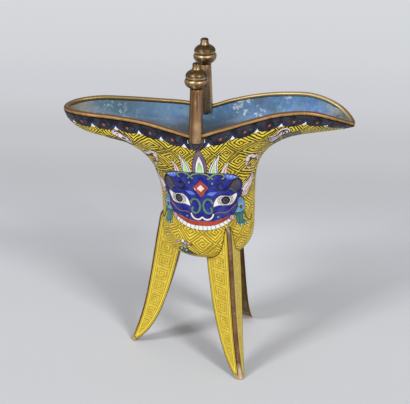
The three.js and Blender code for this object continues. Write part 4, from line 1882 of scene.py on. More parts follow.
@dataclass
class RuyiBorder:
    """The navy border of ruyi heads that hangs from the rim all round."""

    surface: CupSurface
    heads: int = 27
    post_head: tuple[int, ...] = (7, 20)

    def build(self) -> None:
        """Draw and lay the border."""
        drawing = Ornament("border", self.place)
        pitch = self.surface.rim_length / self.heads
        for i in range(self.heads):
            self.middle = i * pitch
            self.head(drawing, pitch / 2)
            if i in self.post_head:
                self.collar(drawing)
        drawing.build(both_faces=False)

    def place(self, x: float, y: float, lift: float) -> Vector:
        """Point of the cup's face for a point of one head's drawing: below the rim, or over its edge.

        Args:
            x: Distance along the rim from the middle of the head.
            y: Height from the rim's edge, negative below it.
            lift: Height above the face.

        Returns:
            The point, in millimetres.
        """
        if y < 0:
            return self.surface.under_rim(self.middle + x, max(-y, 0.02), lift)
        return self.surface.under_rim(self.middle + x, 0.02, lift - y) + Vector((0, 0, lift))

    def head(self, drawing: Ornament, half: float) -> None:
        """One ruyi head and the white triangle beside it.

        Args:
            drawing: The ornament to draw in.
            half: Half of the distance between heads.
        """
        low = twin([(half, -3.4), (4.9, -4.2), (3.9, -4.8), (2.6, -5.3), (0, -5.6)])
        top = [(half * (k / 10 - 1), 0) for k in range(21)]
        drawing.cell(Glass.INK, top + rounded(low, False), 0, 0)
        drawing.cell(Glass.INK, top[::-1] + [(x, 0.8) for x, _ in top], 0, 0)
        drawing.stroke(Glass.BLACK, low, 0.4, 1)
        curl = ((1.2, -4.8), (3.0, -4.6), (4.5, -3.6), (4.9, -2.2), (3.9, -1.0), (2.6, -1.1))
        for side in (1, -1):
            for glass, width, level, line in (
                (Glass.NAVY, 1.4, 1, ((1.8, -3.9), (3.4, -3.5), (3.9, -2.5), (3.2, -1.5))),
                (Glass.ROYAL, 0.32, 2, curl),
                (Glass.PINE if side > 0 else Glass.MAROON, 0.95, 2, ((2.4, -2.4), (3.3, -2.9))),
                (Glass.ROYAL, 0.95, 2, ((half - 1.8, -4.1), (half - 1.2, -3.1), (half - 0.5, -2.4))),
            ):
                drawing.stroke(glass, [(side * x, y) for x, y in line], width, level, 0.2)
        drawing.stroke(Glass.NAVY, [(-2.2, -0.9), (0, -1.5), (2.2, -0.9)], 0.5, 1)
        drawing.cell(Glass.MAROON, disc(0, -3.1, 1.3), 1, 0)
        drawing.cell(Glass.RUST, disc(0, -3.1, 0.72), 2, 0.06)
        notch = twin([(0, -2.9, 1), (0.6, -3.8), (1.4, -4.75, 1), (0, -5.1)])[:-1]
        drawing.cell(Glass.WHITE, rounded([(half + x, *rest) for x, *rest in notch]), 3, 0.06)

    def collar(self, drawing: Ornament) -> None:
        """Dark patch under a post's foot, between two pale spots.

        Args:
            drawing: The ornament to draw in.
        """
        edge = [(-3.4, -0.4), *twin([(3.4, -0.4), (3.6, -2.6), (2.6, -4.7), (0, -5.8)])[:-1]]
        drawing.cell(Glass.SLATE, rounded(edge), 3, 0.15)
        drawing.stroke(Glass.BLACK, twin([(-2.2, -2.6), (-1.2, -4.3), (0, -4.8)]), 0.5, 4)
        for x in (-4.1, 4.1):
            drawing.stroke(Glass.WHITE, [(x, -0.9), (x, -2.3)], 0.4, 4)


@dataclass
class Clouds:
    """Pink clouds on the two wings and a spray of leaves on the bowl."""

    surface: CupSurface

    def build(self) -> None:
        """Draw and lay the clouds and the spray."""
        for name, draw, spots in (
            ("tail_cloud", self.tail_cloud, ((0, 0, 1, 1.0),)),
            ("spout_cloud", self.spout_cloud, ((0, 0, 1, 1.0),)),
            ("arch_cloud", self.arch_cloud, ((26.0, 30.0, 1, 1.0), (28.9, 31.0, -1, 1.14))),
            ("spray", self.spray, ((0, 0, 1, 1.0),)),
        ):
            for number, spot in enumerate(spots):
                drawing = Ornament(f"{name}_{number}", self.placing(*spot))
                draw(drawing)
                drawing.build()

    def placing(self, x: float, y: float, side: int, size: float) -> Placing:
        """Placing of a scaled drawing at a point of the wall, mirrored where side is -1."""
        wall = self.surface.on_wall
        return lambda a, b, lift: wall(side * (x + a * size), y + b * size, lift)

    def tail_cloud(self, drawing: Ornament) -> None:
        """A rolled cloud over dark leaves, under the tail.

        Args:
            drawing: The ornament to draw in.
        """
        leaf = [
            (40.6, 48.5, 1), (41.0, 52.7), (42.7, 54.9), (45.3, 54.8), (48.9, 56.2), (54.8, 52.6, 1),
            (50.9, 48.4), (48.5, 44.8), (44.8, 44.0),
        ]
        drawing.cell(Glass.PINE, rounded(leaf), 0, 0.14)
        drawing.stroke(Glass.SLATE, [(42.6, 50.4), (45.4, 51.6), (49.4, 52.4)], 0.9, 1, 0.4)
        frond = [(40.4, 42.9, 1), (41.5, 44.0), (45.6, 42.0), (45.4, 39.5, 1), (43.2, 38.3), (40.4, 39.4)]
        drawing.cell(Glass.JADE, rounded(frond), 0, 0.12)
        body = [
            (33.1, 48.0), (33.5, 49.5), (34.5, 50.6), (36.1, 51.7), (37.2, 53.5), (38.6, 55.2),
            (40.4, 56.5), (42.2, 57.2), (43.3, 57.0), (43.4, 55.8), (42.5, 54.6), (41.3, 53.6),
            (39.8, 52.4), (39.2, 50.1), (39.9, 45.2), (38.9, 43.2), (37.6, 41.5), (35.6, 41.7),
            (33.8, 44.2),
        ]
        drawing.cell(Glass.IVORY, rounded(body), 1, 0.14)
        drawing.cell(Glass.LILAC, disc(36.2, 45.0, 1.15, 1.7), 2, 0)
        inner = [
            (35.6, 43.2), (34.4, 45.4), (34.2, 47.6), (34.9, 49.2), (36.4, 50.5), (37.6, 52.2),
            (38.6, 53.9), (40.0, 55.2), (41.5, 56.0), (42.5, 56.1), (42.6, 55.5),
        ]
        drawing.stroke(Glass.MAROON, inner, 0.55, 3)
        hook = [(39.4, 53.2), (40.0, 54.5), (40.9, 55.0), (41.3, 54.6), (40.6, 53.9)]
        drawing.stroke(Glass.MAROON, hook, 0.45, 3)
        drawing.stroke(Glass.BLACK, [(37.0, 46.8), (38.0, 47.3), (39.0, 47.1)], 1.0, 3, 0.2)

    def spout_cloud(self, drawing: Ornament) -> None:
        """Its counterpart under the spout.

        Args:
            drawing: The ornament to draw in.
        """
        leaf = [
            (-50.3, 54.3, 1), (-47.7, 52.6), (-45.4, 50.4), (-42.7, 48.3), (-40.6, 45.2, 1),
            (-42.6, 45.2), (-45.8, 47.6), (-48.9, 50.6),
        ]
        drawing.cell(Glass.PINE, rounded(leaf), 0, 0.14)
        body = [
            (-47.5, 54.8), (-46.5, 55.1), (-44.6, 54.1), (-42.7, 52.6), (-41.0, 50.9), (-39.1, 49.4),
            (-37.5, 47.7), (-36.9, 45.6), (-37.4, 43.4), (-38.6, 42.3), (-39.6, 43.0), (-40.5, 46.0),
            (-42.3, 48.5), (-43.6, 50.3), (-45.2, 51.7), (-46.5, 53.0), (-47.3, 54.1),
        ]
        drawing.cell(Glass.IVORY, rounded(body), 1, 0.14)
        drawing.cell(Glass.LILAC, disc(-46.3, 54.1, 0.6), 2, 0)
        drawing.cell(Glass.LILAC, disc(-38.5, 46.2, 0.6, 1.7), 2, 0)
        inner = [
            (-45.9, 54.3), (-44.2, 53.3), (-42.4, 51.9), (-40.9, 50.2), (-39.1, 48.7), (-38.0, 47.1),
            (-37.8, 45.0),
        ]
        drawing.stroke(Glass.MAROON, inner, 0.4, 3)
        drawing.cell(Glass.MAROON, disc(-44.6, 52.0, 0.8), 3, 0)
        drawing.cell(Glass.WHITE, disc(-44.6, 52.0, 0.5), 4, 0)
        drawing.stroke(Glass.BLACK, [(-42.0, 49.6), (-40.3, 48.3)], 0.7, 3, 0.2)

    def arch_cloud(self, drawing: Ornament) -> None:
        """A cloud bent like an arch, built of lobes, with a dark inner line.

        Args:
            drawing: The ornament to draw in.
        """
        line = [(-2.2, -3.4), (-0.9, -4.5), (0.2, -4.5), (0.6, -3.7)]
        drawing.stroke(Glass.IVORY, line, 0.8, 1, wired=True)
        arch = [
            (-2.7, -2.0), (-3.0, -0.8), (-2.4, 0.5), (-2.5, 2.2), (-1.8, 3.1), (-0.7, 3.3), (0.6, 2.6),
            (1.9, 1.8), (3.4, 2.0), (4.4, 1.6), (5.6, -0.4),
        ]
        drawing.stroke(Glass.IVORY, arch, 2.2, 1, wired=True)
        for glass, x, y, radius, tall in (
            (Glass.PINK, -2.95, -1.2, 1.05, 1.2),
            (Glass.WHITE, -1.5, 3.2, 1.15, 0.75),
            (Glass.WHITE, 1.8, 1.9, 1.1, 0.9),
            (Glass.PLUM, -0.5, 1.7, 0.6, 0.8),
            (Glass.PINK, 4.3, 1.5, 0.8, 1.3),
        ):
            drawing.cell(glass, disc(x, y, radius, tall), 2, 0.07)
        dark = [(-2.0, -1.7), (-1.7, -0.5), (-0.7, 0.6), (1.0, 0.6), (3.2, 0.0), (5.2, -1.6)]
        drawing.stroke(Glass.MAROON, dark, 0.55, 3, 0.2)
        drawing.stroke(Glass.MAROON, [(-1.1, -3.3), (-0.7, -2.3), (0.1, -2.4), (-0.1, -3.2)], 0.35, 3)

    def spray(self, drawing: Ornament) -> None:
        """Pink petals on a pale stem over teal leaves.

        Args:
            drawing: The ornament to draw in.
        """
        leaves = [
            (-13.5, -17.7, 1), (-12.3, -16.4), (-10.4, -16.0), (-8.4, -15.4), (-7.2, -16.8),
            (-5.6, -18.2), (-3.2, -20.0, 1), (-6.4, -20.4), (-10.3, -20.1),
        ]
        petal = [(-11.4, -11.6), (-10.3, -10.9), (-9.6, -11.8), (-10.4, -13.2), (-11.5, -12.8)]
        drop = [(-11.0, -17.5), (-10.1, -16.3), (-9.2, -17.2), (-10.1, -18.9), (-11.1, -18.6)]
        for glass, level, line in (
            (Glass.PINE, 0, leaves),
            (Glass.PINK, 1, [(-15.1, -13.3, 1), (-13.2, -12.1), (-11.9, -12.4), (-13.0, -13.4)]),
            (Glass.WHITE, 2, petal),
            (Glass.LILAC, 1, [(-10.2, -12.9), (-8.9, -12.2), (-8.2, -13.2), (-9.4, -14.1)]),
            (Glass.PINK, 2, [(-8.5, -13.2), (-7.5, -12.4), (-6.4, -13.1), (-6.8, -13.9)]),
            (Glass.TAN, 1, [(-6.7, -12.8), (-5.3, -13.3), (-6.2, -14.3)]),
            (Glass.WHITE, 1, [(-12.2, -17.0), (-11.4, -15.9), (-10.8, -16.8), (-11.8, -17.9)]),
            (Glass.TEAL, 1, drop),
            (Glass.ICE, 2, [(-9.2, -17.1), (-8.4, -16.4), (-8.0, -17.5), (-9.1, -18.6)]),
        ):
            drawing.cell(glass, rounded(line), level, 0.1)
        stem = [(-11.3, -13.4), (-10.7, -14.7), (-9.7, -15.1), (-9.0, -14.1)]
        drawing.stroke(Glass.LEAF, stem, 0.6, 1, wired=True)
        drawing.stroke(Glass.WHITE, [(-10.0, -15.4), (-9.1, -16.1)], 0.6, 2)
        drawing.stroke(Glass.JADE, [(-12.6, -18.3), (-11.4, -19.3), (-9.6, -19.6)], 0.5, 1, 0.3)
        drawing.stroke(Glass.TEAL, [(-8.6, -19.6), (-7.2, -19.3), (-5.6, -19.6)], 0.6, 1, 0.3)


# ---------------------------------------------------------------------------------------------- metalwork


@dataclass
class RimPost:
    """A forked post with its turned finial, leaning in over the mouth."""

    name: str
    side: int
    x: float
    slant: float
    bulb_radius: float
    dome_radius: float
    rim_y: float = 24.5
    pivot_z: float = 122.8
    lean: float = 1.8
    foot_z: float = 121.2
    foot_radius: float = 3.45
    top_radius: float = 3.05
    top_z: float = 146.6
    slot_width: float = 3.2
    slot_top: float = 126.3
    bulb_top: float = 152.1
    bulb_lip: float = 1.2
    dome_top: float = 156.4
    dome_roll: float = 1.0
    button_radius: float = 2.05
    height: float = 160.0
    gap: float = 0.2
    slot_length: float = 14.0
    sides: int = 48
    crease: float = 45.0

    def turned(self, name: str, profile: Sequence[Point2]) -> bpy.types.Object:
        """Turn a profile about the upright axis by extruding a circle step by step.

        Args:
            name: Name of the piece.
            profile: Radius and height of each step, upwards.

        Returns:
            The closed piece, about its own axis.
        """
        radius, z = profile[0]
        bpy.ops.object.select_all(action="DESELECT")
        bpy.ops.mesh.primitive_circle_add(
            vertices=self.sides, radius=radius * MM, fill_type="NGON", location=(0, 0, z * MM)
        )
        piece = bpy.context.active_object
        piece.name = name
        bpy.ops.object.mode_set(mode="EDIT")
        bpy.ops.mesh.select_all(action="SELECT")
        for next_radius, next_z in profile[1:]:
            bpy.ops.mesh.extrude_region_move(TRANSFORM_OT_translate={"value": (0, 0, (next_z - z) * MM)})
            bpy.ops.transform.resize(
                value=(next_radius / radius, next_radius / radius, 1), center_override=(0, 0, next_z * MM)
            )
            radius, z = next_radius, next_z
        bpy.ops.object.mode_set(mode="OBJECT")
        bpy.ops.object.transform_apply(location=True, rotation=True, scale=True)
        shop.outwards(piece)
        return piece

    def quarter(self, radius: float, base: float, rise: float, top: float, steps: int) -> Outline:
        """Quarter of an ellipse from its widest place towards its end.

        Args:
            radius: Widest radius.
            base: Height there.
            rise: Height that it gains, or loses if negative.
            top: Radius at its end.
            steps: Steps along it.

        Returns:
            Radius and height of each step.
        """
        end = math.acos(top / radius)
        turns = [i / steps * end for i in range(steps + 1)]
        return [(radius * math.cos(t), base + rise * math.sin(t) / math.sin(end)) for t in turns]

    def build(self) -> None:
        """Build and dress the shaft and the three parts of the finial."""
        for piece, node, metal in (
            (self.shaft(), "post_shaft", Metal.BRONZE),
            (self.bulb(), "finial_bulb", Metal.FINIAL),
            (self.dome(), "finial_dome", Metal.FINIAL),
            (self.button(), "finial_button", Metal.FINIAL),
        ):
            self.stand(piece)
            shop.paint(piece, metal)
            shop.smooth(piece, self.crease)
            shop.hand_in(piece, "gilt_copper", f"{self.name}_{node}")

    def bulb(self) -> bpy.types.Object:
        """The lower bulb, widest under its rounded lip.

        Returns:
            The finished bulb.
        """
        radius = self.bulb_radius
        foot, widest = self.top_z + self.gap, self.bulb_top - self.bulb_lip
        belly = self.quarter(radius, widest, foot - widest, self.top_radius - 0.1, 10)[::-1]
        lip = self.quarter(radius, widest, self.bulb_top - widest, radius - 0.6, 5)
        return self.turned(f"{self.name}_bulb", [*belly, *lip[1:]])

    def dome(self) -> bpy.types.Object:
        """The low dome that stands on the bulb.

        Returns:
            The finished dome.
        """
        radius = self.dome_radius
        foot = self.bulb_top + self.gap
        widest = foot + self.dome_roll
        cap = self.quarter(radius, widest, self.dome_top - widest, self.button_radius + 0.5, 10)
        return self.turned(f"{self.name}_dome", [(radius - 0.5, foot), (radius - 0.2, foot + 0.35), *cap])

    def button(self) -> bpy.types.Object:
        """The button on top, with a flared neck.

        Returns:
            The finished button.
        """
        radius = self.button_radius
        foot = self.dome_top + self.gap
        neck = [(radius + 0.35, foot), (radius + 0.3, foot + 0.4), (radius, foot + 0.8)]
        crown = self.quarter(radius, self.height - 0.95, 0.93, 0.5, 6)
        return self.turned(f"{self.name}_button", [*neck, *crown])

    def shaft(self) -> bpy.types.Object:
        """The tapering shaft, slotted to straddle the rim.

        Returns:
            The finished shaft.
        """
        slope = (self.top_radius - self.foot_radius) / (self.top_z - self.foot_z)
        steps = [self.foot_z + 0.5 + i / 12 * (self.top_z - self.foot_z - 0.9) for i in range(13)]
        profile = [(self.foot_radius - 0.25, self.foot_z + 0.05)]
        profile += [(self.foot_radius + slope * (z - self.foot_z), z) for z in steps]
        profile += [(self.top_radius - 0.1, self.top_z - 0.15)]
        piece = self.turned(f"{self.name}_shaft", profile)
        bpy.ops.object.select_all(action="DESELECT")
        tall = self.slot_top - self.foot_z + 4
        bpy.ops.mesh.primitive_cube_add(size=MM, location=(0, 0, (self.slot_top - tall / 2) * MM))
        cutter = bpy.context.active_object
        cutter.scale = (self.slot_length, self.slot_width, tall)
        bpy.ops.object.transform_apply(location=True, rotation=True, scale=True)
        shop.boolean(piece, cutter, "DIFFERENCE")
        shop.remove(cutter)
        return piece

    def stand(self, piece: bpy.types.Object) -> None:
        """Lean a piece about the rim and put it in its place.

        Args:
            piece: The piece, still upright about its own axis.
        """
        pivot = Matrix.Translation((0, 0, self.pivot_z * MM))
        lean = Matrix.Rotation(math.radians(self.lean) * self.side, 4, "X")
        lean = lean @ Matrix.Rotation(math.radians(self.slant), 4, "Y")
        place = Matrix.Translation(((self.x + AXIS_X) * MM, self.side * self.rim_y * MM, 0))
        piece.data.transform(place @ pivot @ lean @ pivot.inverted())


@dataclass
class BladeLeg:
    """A curved blade leg: a ridge bar with the foot, two enamelled side plates and a plain back plate."""

    name: str
    stand: float
    twist: float
    splay: float
    cutter: bpy.types.Object
    ridge_half: float = 1.0
    ridge_depth: float = 1.9
    ridge_round: tuple = ((0.5, 1.0), (0.2, 0.72), (0.0, 0.25))
    ridge_back: float = 0.7
    toe: tuple[float, float] = (0.45, 0.25)
    flank_margin: float = 0.25
    sole_normal: float = -0.9
    thickness: float = 1.3
    plate_end: float = 0.975
    plate_gap: float = 0.005
    gap: float = 0.08
    top: float = 0.055
    tuck_length: float = 0.045
    tuck_depth: float = 2.2
    stations: int = 34
    seat_depth: float = 0.6
    plate_taper: float = 0.45
    tip_room: float = 2.0
    back_depth: float = 1.1
    top_half: float = 8.9
    even_taper: float = 0.5
    tip_taper: float = 6.0
    tip_power: float = 2.3
    ridge_line: tuple = ((23.7, 82), (30, 52), (31, 22.5), (41.4, 0.9))
    inner_line: tuple = ((11.9, 68), (16.8, 46.7), (22.8, 11.2), (39.4, 0.9))
    sole: tuple[float, float] = (39.1, 41.2)
    crease: float = 30.0
    seam_points: int = 25
    seam_reach: float = 0.6
    seam_halvings: int = 14
    seam_radius: float = 0.24

    def shares(self, end: float) -> list[float]:
        """Shares of the leg's length for its sections, close together where its top is tucked in.

        Args:
            end: Share at which the last section lies.

        Returns:
            The shares, from the top down.
        """
        top, tuck = self.top, self.tuck_length
        return [top + tuck * i / 4 for i in range(4)] + [
            top + tuck + (end - top - tuck) * i / self.stations for i in range(self.stations + 1)
        ]

    def ridge(self, t: float) -> tuple[float, float]:
        """Point of the ridge, which dips into the wall at its top."""
        x, z = self.at(self.ridge_line, t)
        return x - self.tuck_depth * max(0.0, 1 - (t - self.top) / self.tuck_length) ** 2, z

    def at(self, line: tuple, t: float) -> tuple[float, float]:
        """Point of a curved line at t, as distance from the axis and height."""
        x, z = bezier(line, t)
        return float(x), float(z)

    def inner_half(self, t: float) -> float:
        """Half width of the leg along its inner edge."""
        return self.top_half - self.even_taper * t - self.tip_taper * t**self.tip_power

    def turn(self, outline: Iterable[Point2], ridge_x: float, t: float) -> list[tuple[float, ...]]:
        """Twist a section about the ridge, bend it outwards and swing it to the leg's place.

        Args:
            outline: Points of the section.
            ridge_x: Distance of the ridge from the axis.
            t: Share of the leg's length that lies above the section.

        Returns:
            Points from the cup's axis.
        """
        a, b = math.radians(self.twist), math.radians(self.stand)
        turned = []
        for x, y, z in outline:
            x -= ridge_x
            x, y = x * math.cos(a) - y * math.sin(a), x * math.sin(a) + y * math.cos(a)
            x += ridge_x + self.splay * t
            turned.append((x * math.cos(b) - y * math.sin(b), x * math.sin(b) + y * math.cos(b), z))
        return turned

    def loft(self, name: str, outlines: list[list[tuple[float, ...]]]) -> bpy.types.Object:
        """Join sections of equal length into a closed solid.

        Args:
            name: Name of the object.
            outlines: The sections in order.

        Returns:
            The object.
        """
        count = len(outlines[0])
        points = [p for outline in outlines for p in outline]
        faces: list[tuple[int, ...]] = []
        for i in range(len(outlines) - 1):
            for j in range(count):
                k = (j + 1) % count
                faces.append((i * count + j, i * count + k, (i + 1) * count + k, (i + 1) * count + j))
        last = (len(outlines) - 1) * count
        faces.append(tuple(range(count - 1, -1, -1)))
        faces.append(tuple(last + j for j in range(count)))
        return shop.mesh(name, points, faces)

    def bar(self) -> bpy.types.Object:
        """The rounded ridge bar and the solid foot with its enamelled flanks, as one piece.

        Returns:
            The finished piece.
        """
        outlines = []
        for t in self.shares(self.plate_end + 0.01):
            x, z = self.ridge(t)
            depth = self.ridge_depth - 0.5 * t
            half = self.ridge_half
            outline = [(x - depth, self.ridge_back * half)]
            outline += [(x - behind, share * half) for behind, share in self.ridge_round]
            outline += [(px, -py) for px, py in reversed(outline)]
            outlines.append(self.turn([(px, py, z) for px, py in outline], x, t))
        bar = self.loft("bar", outlines)
        outlines = []
        for i in range(7):
            t = self.plate_end + (1 - self.plate_end) * i / 6
            ridge, inner = self.at(self.ridge_line, t), self.at(self.inner_line, t)
            outlines.append(self.foot_section(ridge, inner, t))
        outlines.append(self.foot_section((self.sole[1], 0), (self.sole[0], 0), 1.0))
        foot = self.loft("foot", outlines)
        shop.outwards(bar)
        shop.outwards(foot)
        shop.boolean(bar, foot, "UNION")
        shop.remove(foot)
        turn = math.radians(self.stand)
        for face in bar.data.polygons:
            x, y = face.center.x / MM - AXIS_X, face.center.y / MM
            aside = abs(y * math.cos(turn) - x * math.sin(turn))
            on_flank = aside > self.ridge_half + self.flank_margin
            face.material_index = int(on_flank and face.normal.z > self.sole_normal)
        return bar

    def foot_section(self, ridge: Point2, inner: Point2, t: float) -> list[tuple[float, ...]]:
        """Section of the solid foot.

        Args:
            ridge: Distance and height of the ridge.
            inner: Distance and height of the inner edge.
            t: Share of the leg's length above it.

        Returns:
            Points from the cup's axis.
        """
        (x, z), (inner_x, inner_z) = ridge, inner
        behind, half = self.toe
        side = [(inner_x, self.inner_half(t), inner_z), (x - behind, self.ridge_half, z), (x, half, z)]
        return self.turn([*side, *((px, -py, pz) for px, py, pz in reversed(side))], x, t)

    def plate_sizes(self, t: float) -> dict[str, Any]:
        """Sizes of the plates' section at t.

        Args:
            t: Share of the leg's length that lies above the section.

        Returns:
            The two corners, the half width and the offsets, by name.
        """
        ridge, inner = self.ridge(t), self.at(self.inner_line, t)
        edge_x, edge_y = ridge[0] - self.seat_depth, self.ridge_half + self.gap
        half = self.inner_half(t)
        run, spread = edge_x - inner[0], half - edge_y
        thick = self.thickness * (1 - self.plate_taper * t)
        length = math.hypot(run, spread)
        return {
            "ridge": ridge,
            "inner": inner,
            "edge": (edge_x, edge_y),
            "half": half,
            "length": length,
            "slope": spread / run,
            "at_ridge": thick * length / spread,
            "at_back": thick * length / run,
        }

    def side_plate(self, side: int) -> bpy.types.Object:
        """An enamelled side plate with its panel maps.

        Args:
            side: 1 for the left plate, -1 for the right.

        Returns:
            The object.
        """
        outlines, spans, run = [], [], 0.0
        before = None
        for t in self.shares(self.plate_end - self.plate_gap):
            s = self.plate_sizes(t)
            (edge_x, edge_y), (x, inner_z), z = s["edge"], s["inner"], s["ridge"][1]
            outline = [
                (edge_x, side * edge_y, z),
                (edge_x - s["at_ridge"], side * edge_y, z),
                (x, side * (s["half"] - s["at_back"]), inner_z),
                (x, side * s["half"], inner_z),
            ]
            outlines.append(self.turn(outline[::side], s["ridge"][0], t))
            middle = Vector(((edge_x + x) / 2, (z + inner_z) / 2))
            run += (middle - (before or middle)).length
            before = middle
            spans.append((math.hypot(s["length"], z - inner_z), run))
        plate = self.loft(f"{self.name}_{'left' if side > 0 else 'right'}", outlines)
        self.map_panel(plate, spans, side)
        return plate

    def map_panel(self, plate: bpy.types.Object, spans: list[tuple[float, float]], side: int) -> None:
        """Write the panel maps of a side plate in millimetres, and mark its outer face.

        Args:
            plate: The plate.
            spans: Width and distance along the leg at each station.
            side: 1 for the left plate, -1 for the right.
        """
        panel = plate.data.uv_layers.new(name="panel")
        size = plate.data.uv_layers.new(name="panel_size")
        total = spans[-1][1] + self.tip_room
        ridge_corners = (0, 1) if side > 0 else (2, 3)
        for face in plate.data.polygons:
            places = set()
            for corner in face.loop_indices:
                station, place = divmod(plate.data.loops[corner].vertex_index, 4)
                wide, run = spans[station]
                panel.data[corner].uv = ((-0.5 if place in ridge_corners else 0.5) * wide, run)
                size.data[corner].uv = (wide / 2, total - run)
                places.add(place)
            face.material_index = int(places != {0, 3})

    def back_plate(self) -> bpy.types.Object:
        """The plain plate towards the cup's axis.

        Returns:
            The finished plate.
        """
        outlines = []
        for t in self.shares(self.plate_end - self.plate_gap):
            s = self.plate_sizes(t)
            (x, z), depth = s["inner"], self.back_depth - 0.5 * t
            back = s["half"] - s["at_back"] - self.gap
            front = back - depth * s["slope"]
            outline = [(x, back, z), (x + depth, front, z), (x + depth, -front, z), (x, -back, z)]
            outlines.append(self.turn(outline, s["ridge"][0], t))
        return self.loft(f"{self.name}_back", outlines)

    def seams(self) -> None:
        """Lay a dark line where the side plates meet the bowl."""
        tree = BVHTree.FromObject(self.cutter, bpy.context.evaluated_depsgraph_get())
        lines = []
        for side in (1, -1):
            line = []
            for k in range(self.seam_points):
                share = k / (self.seam_points - 1)
                low, high = self.top, self.seam_reach
                for _ in range(self.seam_halvings):
                    t = (low + high) / 2
                    point = self.on_plate(side, share, t)
                    at = (point + Vector((AXIS_X, 0, 0))) * MM
                    near, normal, _, _ = tree.find_nearest(at)
                    low, high = (low, t) if (at - near).dot(normal) > 0 else (t, high)
                line.append(point)
            lines.append((line, False, self.seam_radius))
        seam = Ornament(f"{self.name}_seam", Vector)
        seam.wire_object(seam.name, Metal.DARK_WIRE, lines, 1)

    def on_plate(self, side: int, share: float, t: float) -> Vector:
        """Point on the outer face of a side plate.

        Args:
            side: 1 for the left plate, -1 for the right.
            share: Share of the way from the ridge to the inner edge.
            t: Share of the leg's length that lies above the point.

        Returns:
            The point from the cup's axis.
        """
        s = self.plate_sizes(t)
        (edge_x, edge_y), (inner_x, inner_z), (ridge_x, ridge_z) = s["edge"], s["inner"], s["ridge"]
        x = edge_x + (inner_x - edge_x) * share
        y = side * (edge_y + (s["half"] - edge_y) * share)
        z = ridge_z + (inner_z - ridge_z) * share
        return Vector(self.turn([(x, y, z)], ridge_x, t)[0])

    def build(self) -> None:
        """Build, cut and dress the four pieces."""
        bar = self.bar()
        bar.name = f"{self.name}_ridge_and_foot"
        flanks = [face.material_index for face in bar.data.polygons]
        shop.paint(bar, RidgeFinish(), Glass.STRAW)
        bar.data.polygons.foreach_set("material_index", flanks)
        back = self.back_plate()
        shop.paint(back, Metal.AGED)
        plates = [self.side_plate(1), self.side_plate(-1)]
        for plate in plates:
            shop.paint(plate, PanelFinish(), Metal.COPPER)
        self.seams()
        for piece, slot, node in (
            (bar, "gilt_copper", "ridge_bar"),
            (plates[0], "enamelled_plate", "left_plate"),
            (plates[1], "enamelled_plate", "right_plate"),
            (back, "raw_copper", "back_plate"),
        ):
            if piece is not bar:
                shop.outwards(piece)
            shop.boolean(piece, self.cutter, "DIFFERENCE")
            shop.smooth(piece, self.crease)
            shop.hand_in(piece, slot, f"{self.name}_{node}")


# ---------------------------------------------------------------------------------------------- studio


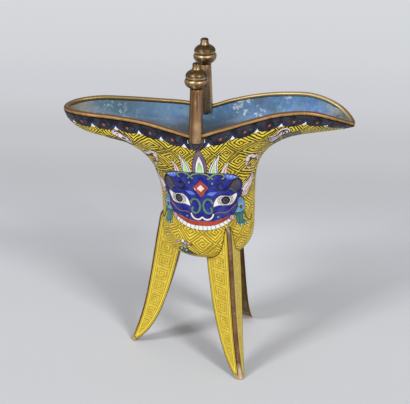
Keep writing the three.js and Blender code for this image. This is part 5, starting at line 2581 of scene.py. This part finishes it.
@dataclass
class Studio:
    """Camera, soft lights and the pale sweep that the cup stands on."""

    azimuth: float = 7.7
    elevation: float = 21.6
    distance: float = 625.0
    aim: tuple[float, float] = (-2.4, 81.0)
    focal_pixels: float = 1235.0
    frame_pixels: tuple[int, int] = (410, 404)
    sensor: float = 36.0
    clip: tuple[float, float] = (0.01, 20.0)
    world_colour: tuple[float, ...] = (0.93, 0.95, 1.0, 1.0)
    world_level: float = 0.42
    lamps: tuple = (
        ("left", (-680, -765, 880), 8.0),
        ("right", (655, -780, 880), 8.7),
    )
    lamp_size: float = 260.0
    lamp_aim: tuple[float, float, float] = (0, 0, 80)
    paper_half: float = 2.4
    paper_front: float = -1.6
    paper_turn: float = 0.9
    paper_bend: float = 0.5
    paper_crease: float = 60.0

    def build(self) -> None:
        """Place everything."""
        self.camera()
        self.sweep()
        for name, place, power in self.lamps:
            self.lamp(name, place, power)
        world = bpy.data.worlds.new("studio")
        world.use_nodes = True
        sky = world.node_tree.nodes["Background"]
        sky.inputs["Color"].default_value = self.world_colour
        sky.inputs["Strength"].default_value = self.world_level
        bpy.context.scene.world = world
        bpy.context.scene.view_settings.view_transform = "Standard"

    def camera(self) -> None:
        """Put the camera where the photograph was taken from."""
        a, e = math.radians(self.azimuth), math.radians(self.elevation)
        back = Vector((math.sin(a) * math.cos(e), -math.cos(a) * math.cos(e), math.sin(e)))
        aim = Vector((self.aim[0] * math.cos(a) + AXIS_X, self.aim[0] * math.sin(a), self.aim[1]))
        lens = bpy.data.cameras.new("camera")
        lens.sensor_width = self.sensor
        lens.lens = self.focal_pixels / self.frame_pixels[0] * self.sensor
        lens.clip_start, lens.clip_end = self.clip
        camera = bpy.data.objects.new("camera", lens)
        camera.location = (aim + back * self.distance) * MM
        camera.rotation_euler = back.to_track_quat("Z", "Y").to_euler()
        bpy.context.collection.objects.link(camera)
        bpy.context.scene.camera = camera

    def sweep(self) -> None:
        """Pale paper that runs level under the cup and curves up behind it."""
        start, bend, half = self.paper_turn, self.paper_bend, self.paper_half
        turns = [k / 10 * math.pi / 2 for k in range(11)]
        profile = [(self.paper_front, 0.0)]
        profile += [(start + bend * math.sin(t), bend - bend * math.cos(t)) for t in turns]
        profile += [(start + bend, half)]
        points = [(x, y, z) for y, z in profile for x in (-half, half)]
        faces = [(2 * i, 2 * i + 1, 2 * i + 3, 2 * i + 2) for i in range(len(profile) - 1)]
        data = bpy.data.meshes.new("sweep")
        data.from_pydata(points, [], faces)
        sweep = bpy.data.objects.new("sweep", data)
        bpy.context.collection.objects.link(sweep)
        shop.smooth(sweep, self.paper_crease)
        shop.paint(sweep, BackdropFinish())

    def lamp(self, name: str, place: Point2, power: float) -> None:
        """A soft square lamp that looks at the cup.

        Args:
            name: Its name.
            place: Where it hangs, in millimetres.
            power: Its power in watts.
        """
        light = bpy.data.lights.new(name, "AREA")
        light.size = self.lamp_size * MM
        light.energy = power
        lamp = bpy.data.objects.new(name, light)
        lamp.location = Vector(place) * MM
        lamp.rotation_euler = (Vector(place) - Vector(self.lamp_aim)).to_track_quat("Z", "Y").to_euler()
        bpy.context.collection.objects.link(lamp)


def main() -> None:
    """Build the cup's sub-assemblies in order."""
    logging.basicConfig(level=logging.INFO, format="%(name)s: %(message)s")
    studio = Studio()
    studio.build()
    surface = CupSurface()
    CupBody(surface).build()
    RuyiBorder(surface).build()
    BeastMask(surface).build()
    Clouds(surface).build()
    RimPost("front", -1, x=-3.5, slant=0.6, bulb_radius=5.75, dome_radius=5.3, top_z=147.3).build()
    RimPost("back", 1, x=-5.0, slant=-1.3, bulb_radius=5.9, dome_radius=5.45).build()
    cutter = surface.plug()
    for name, stand, twist, splay in (
        ("spout_leg", 180, 0, 0.7),
        ("front_tail_leg", -60, -7.5, 0.1),
        ("back_tail_leg", 62.8, 8.3, -1.6),
    ):
        BladeLeg(name, stand, twist, splay, cutter).build()
    shop.remove(cutter)


if __name__ == "__main__":
    main()
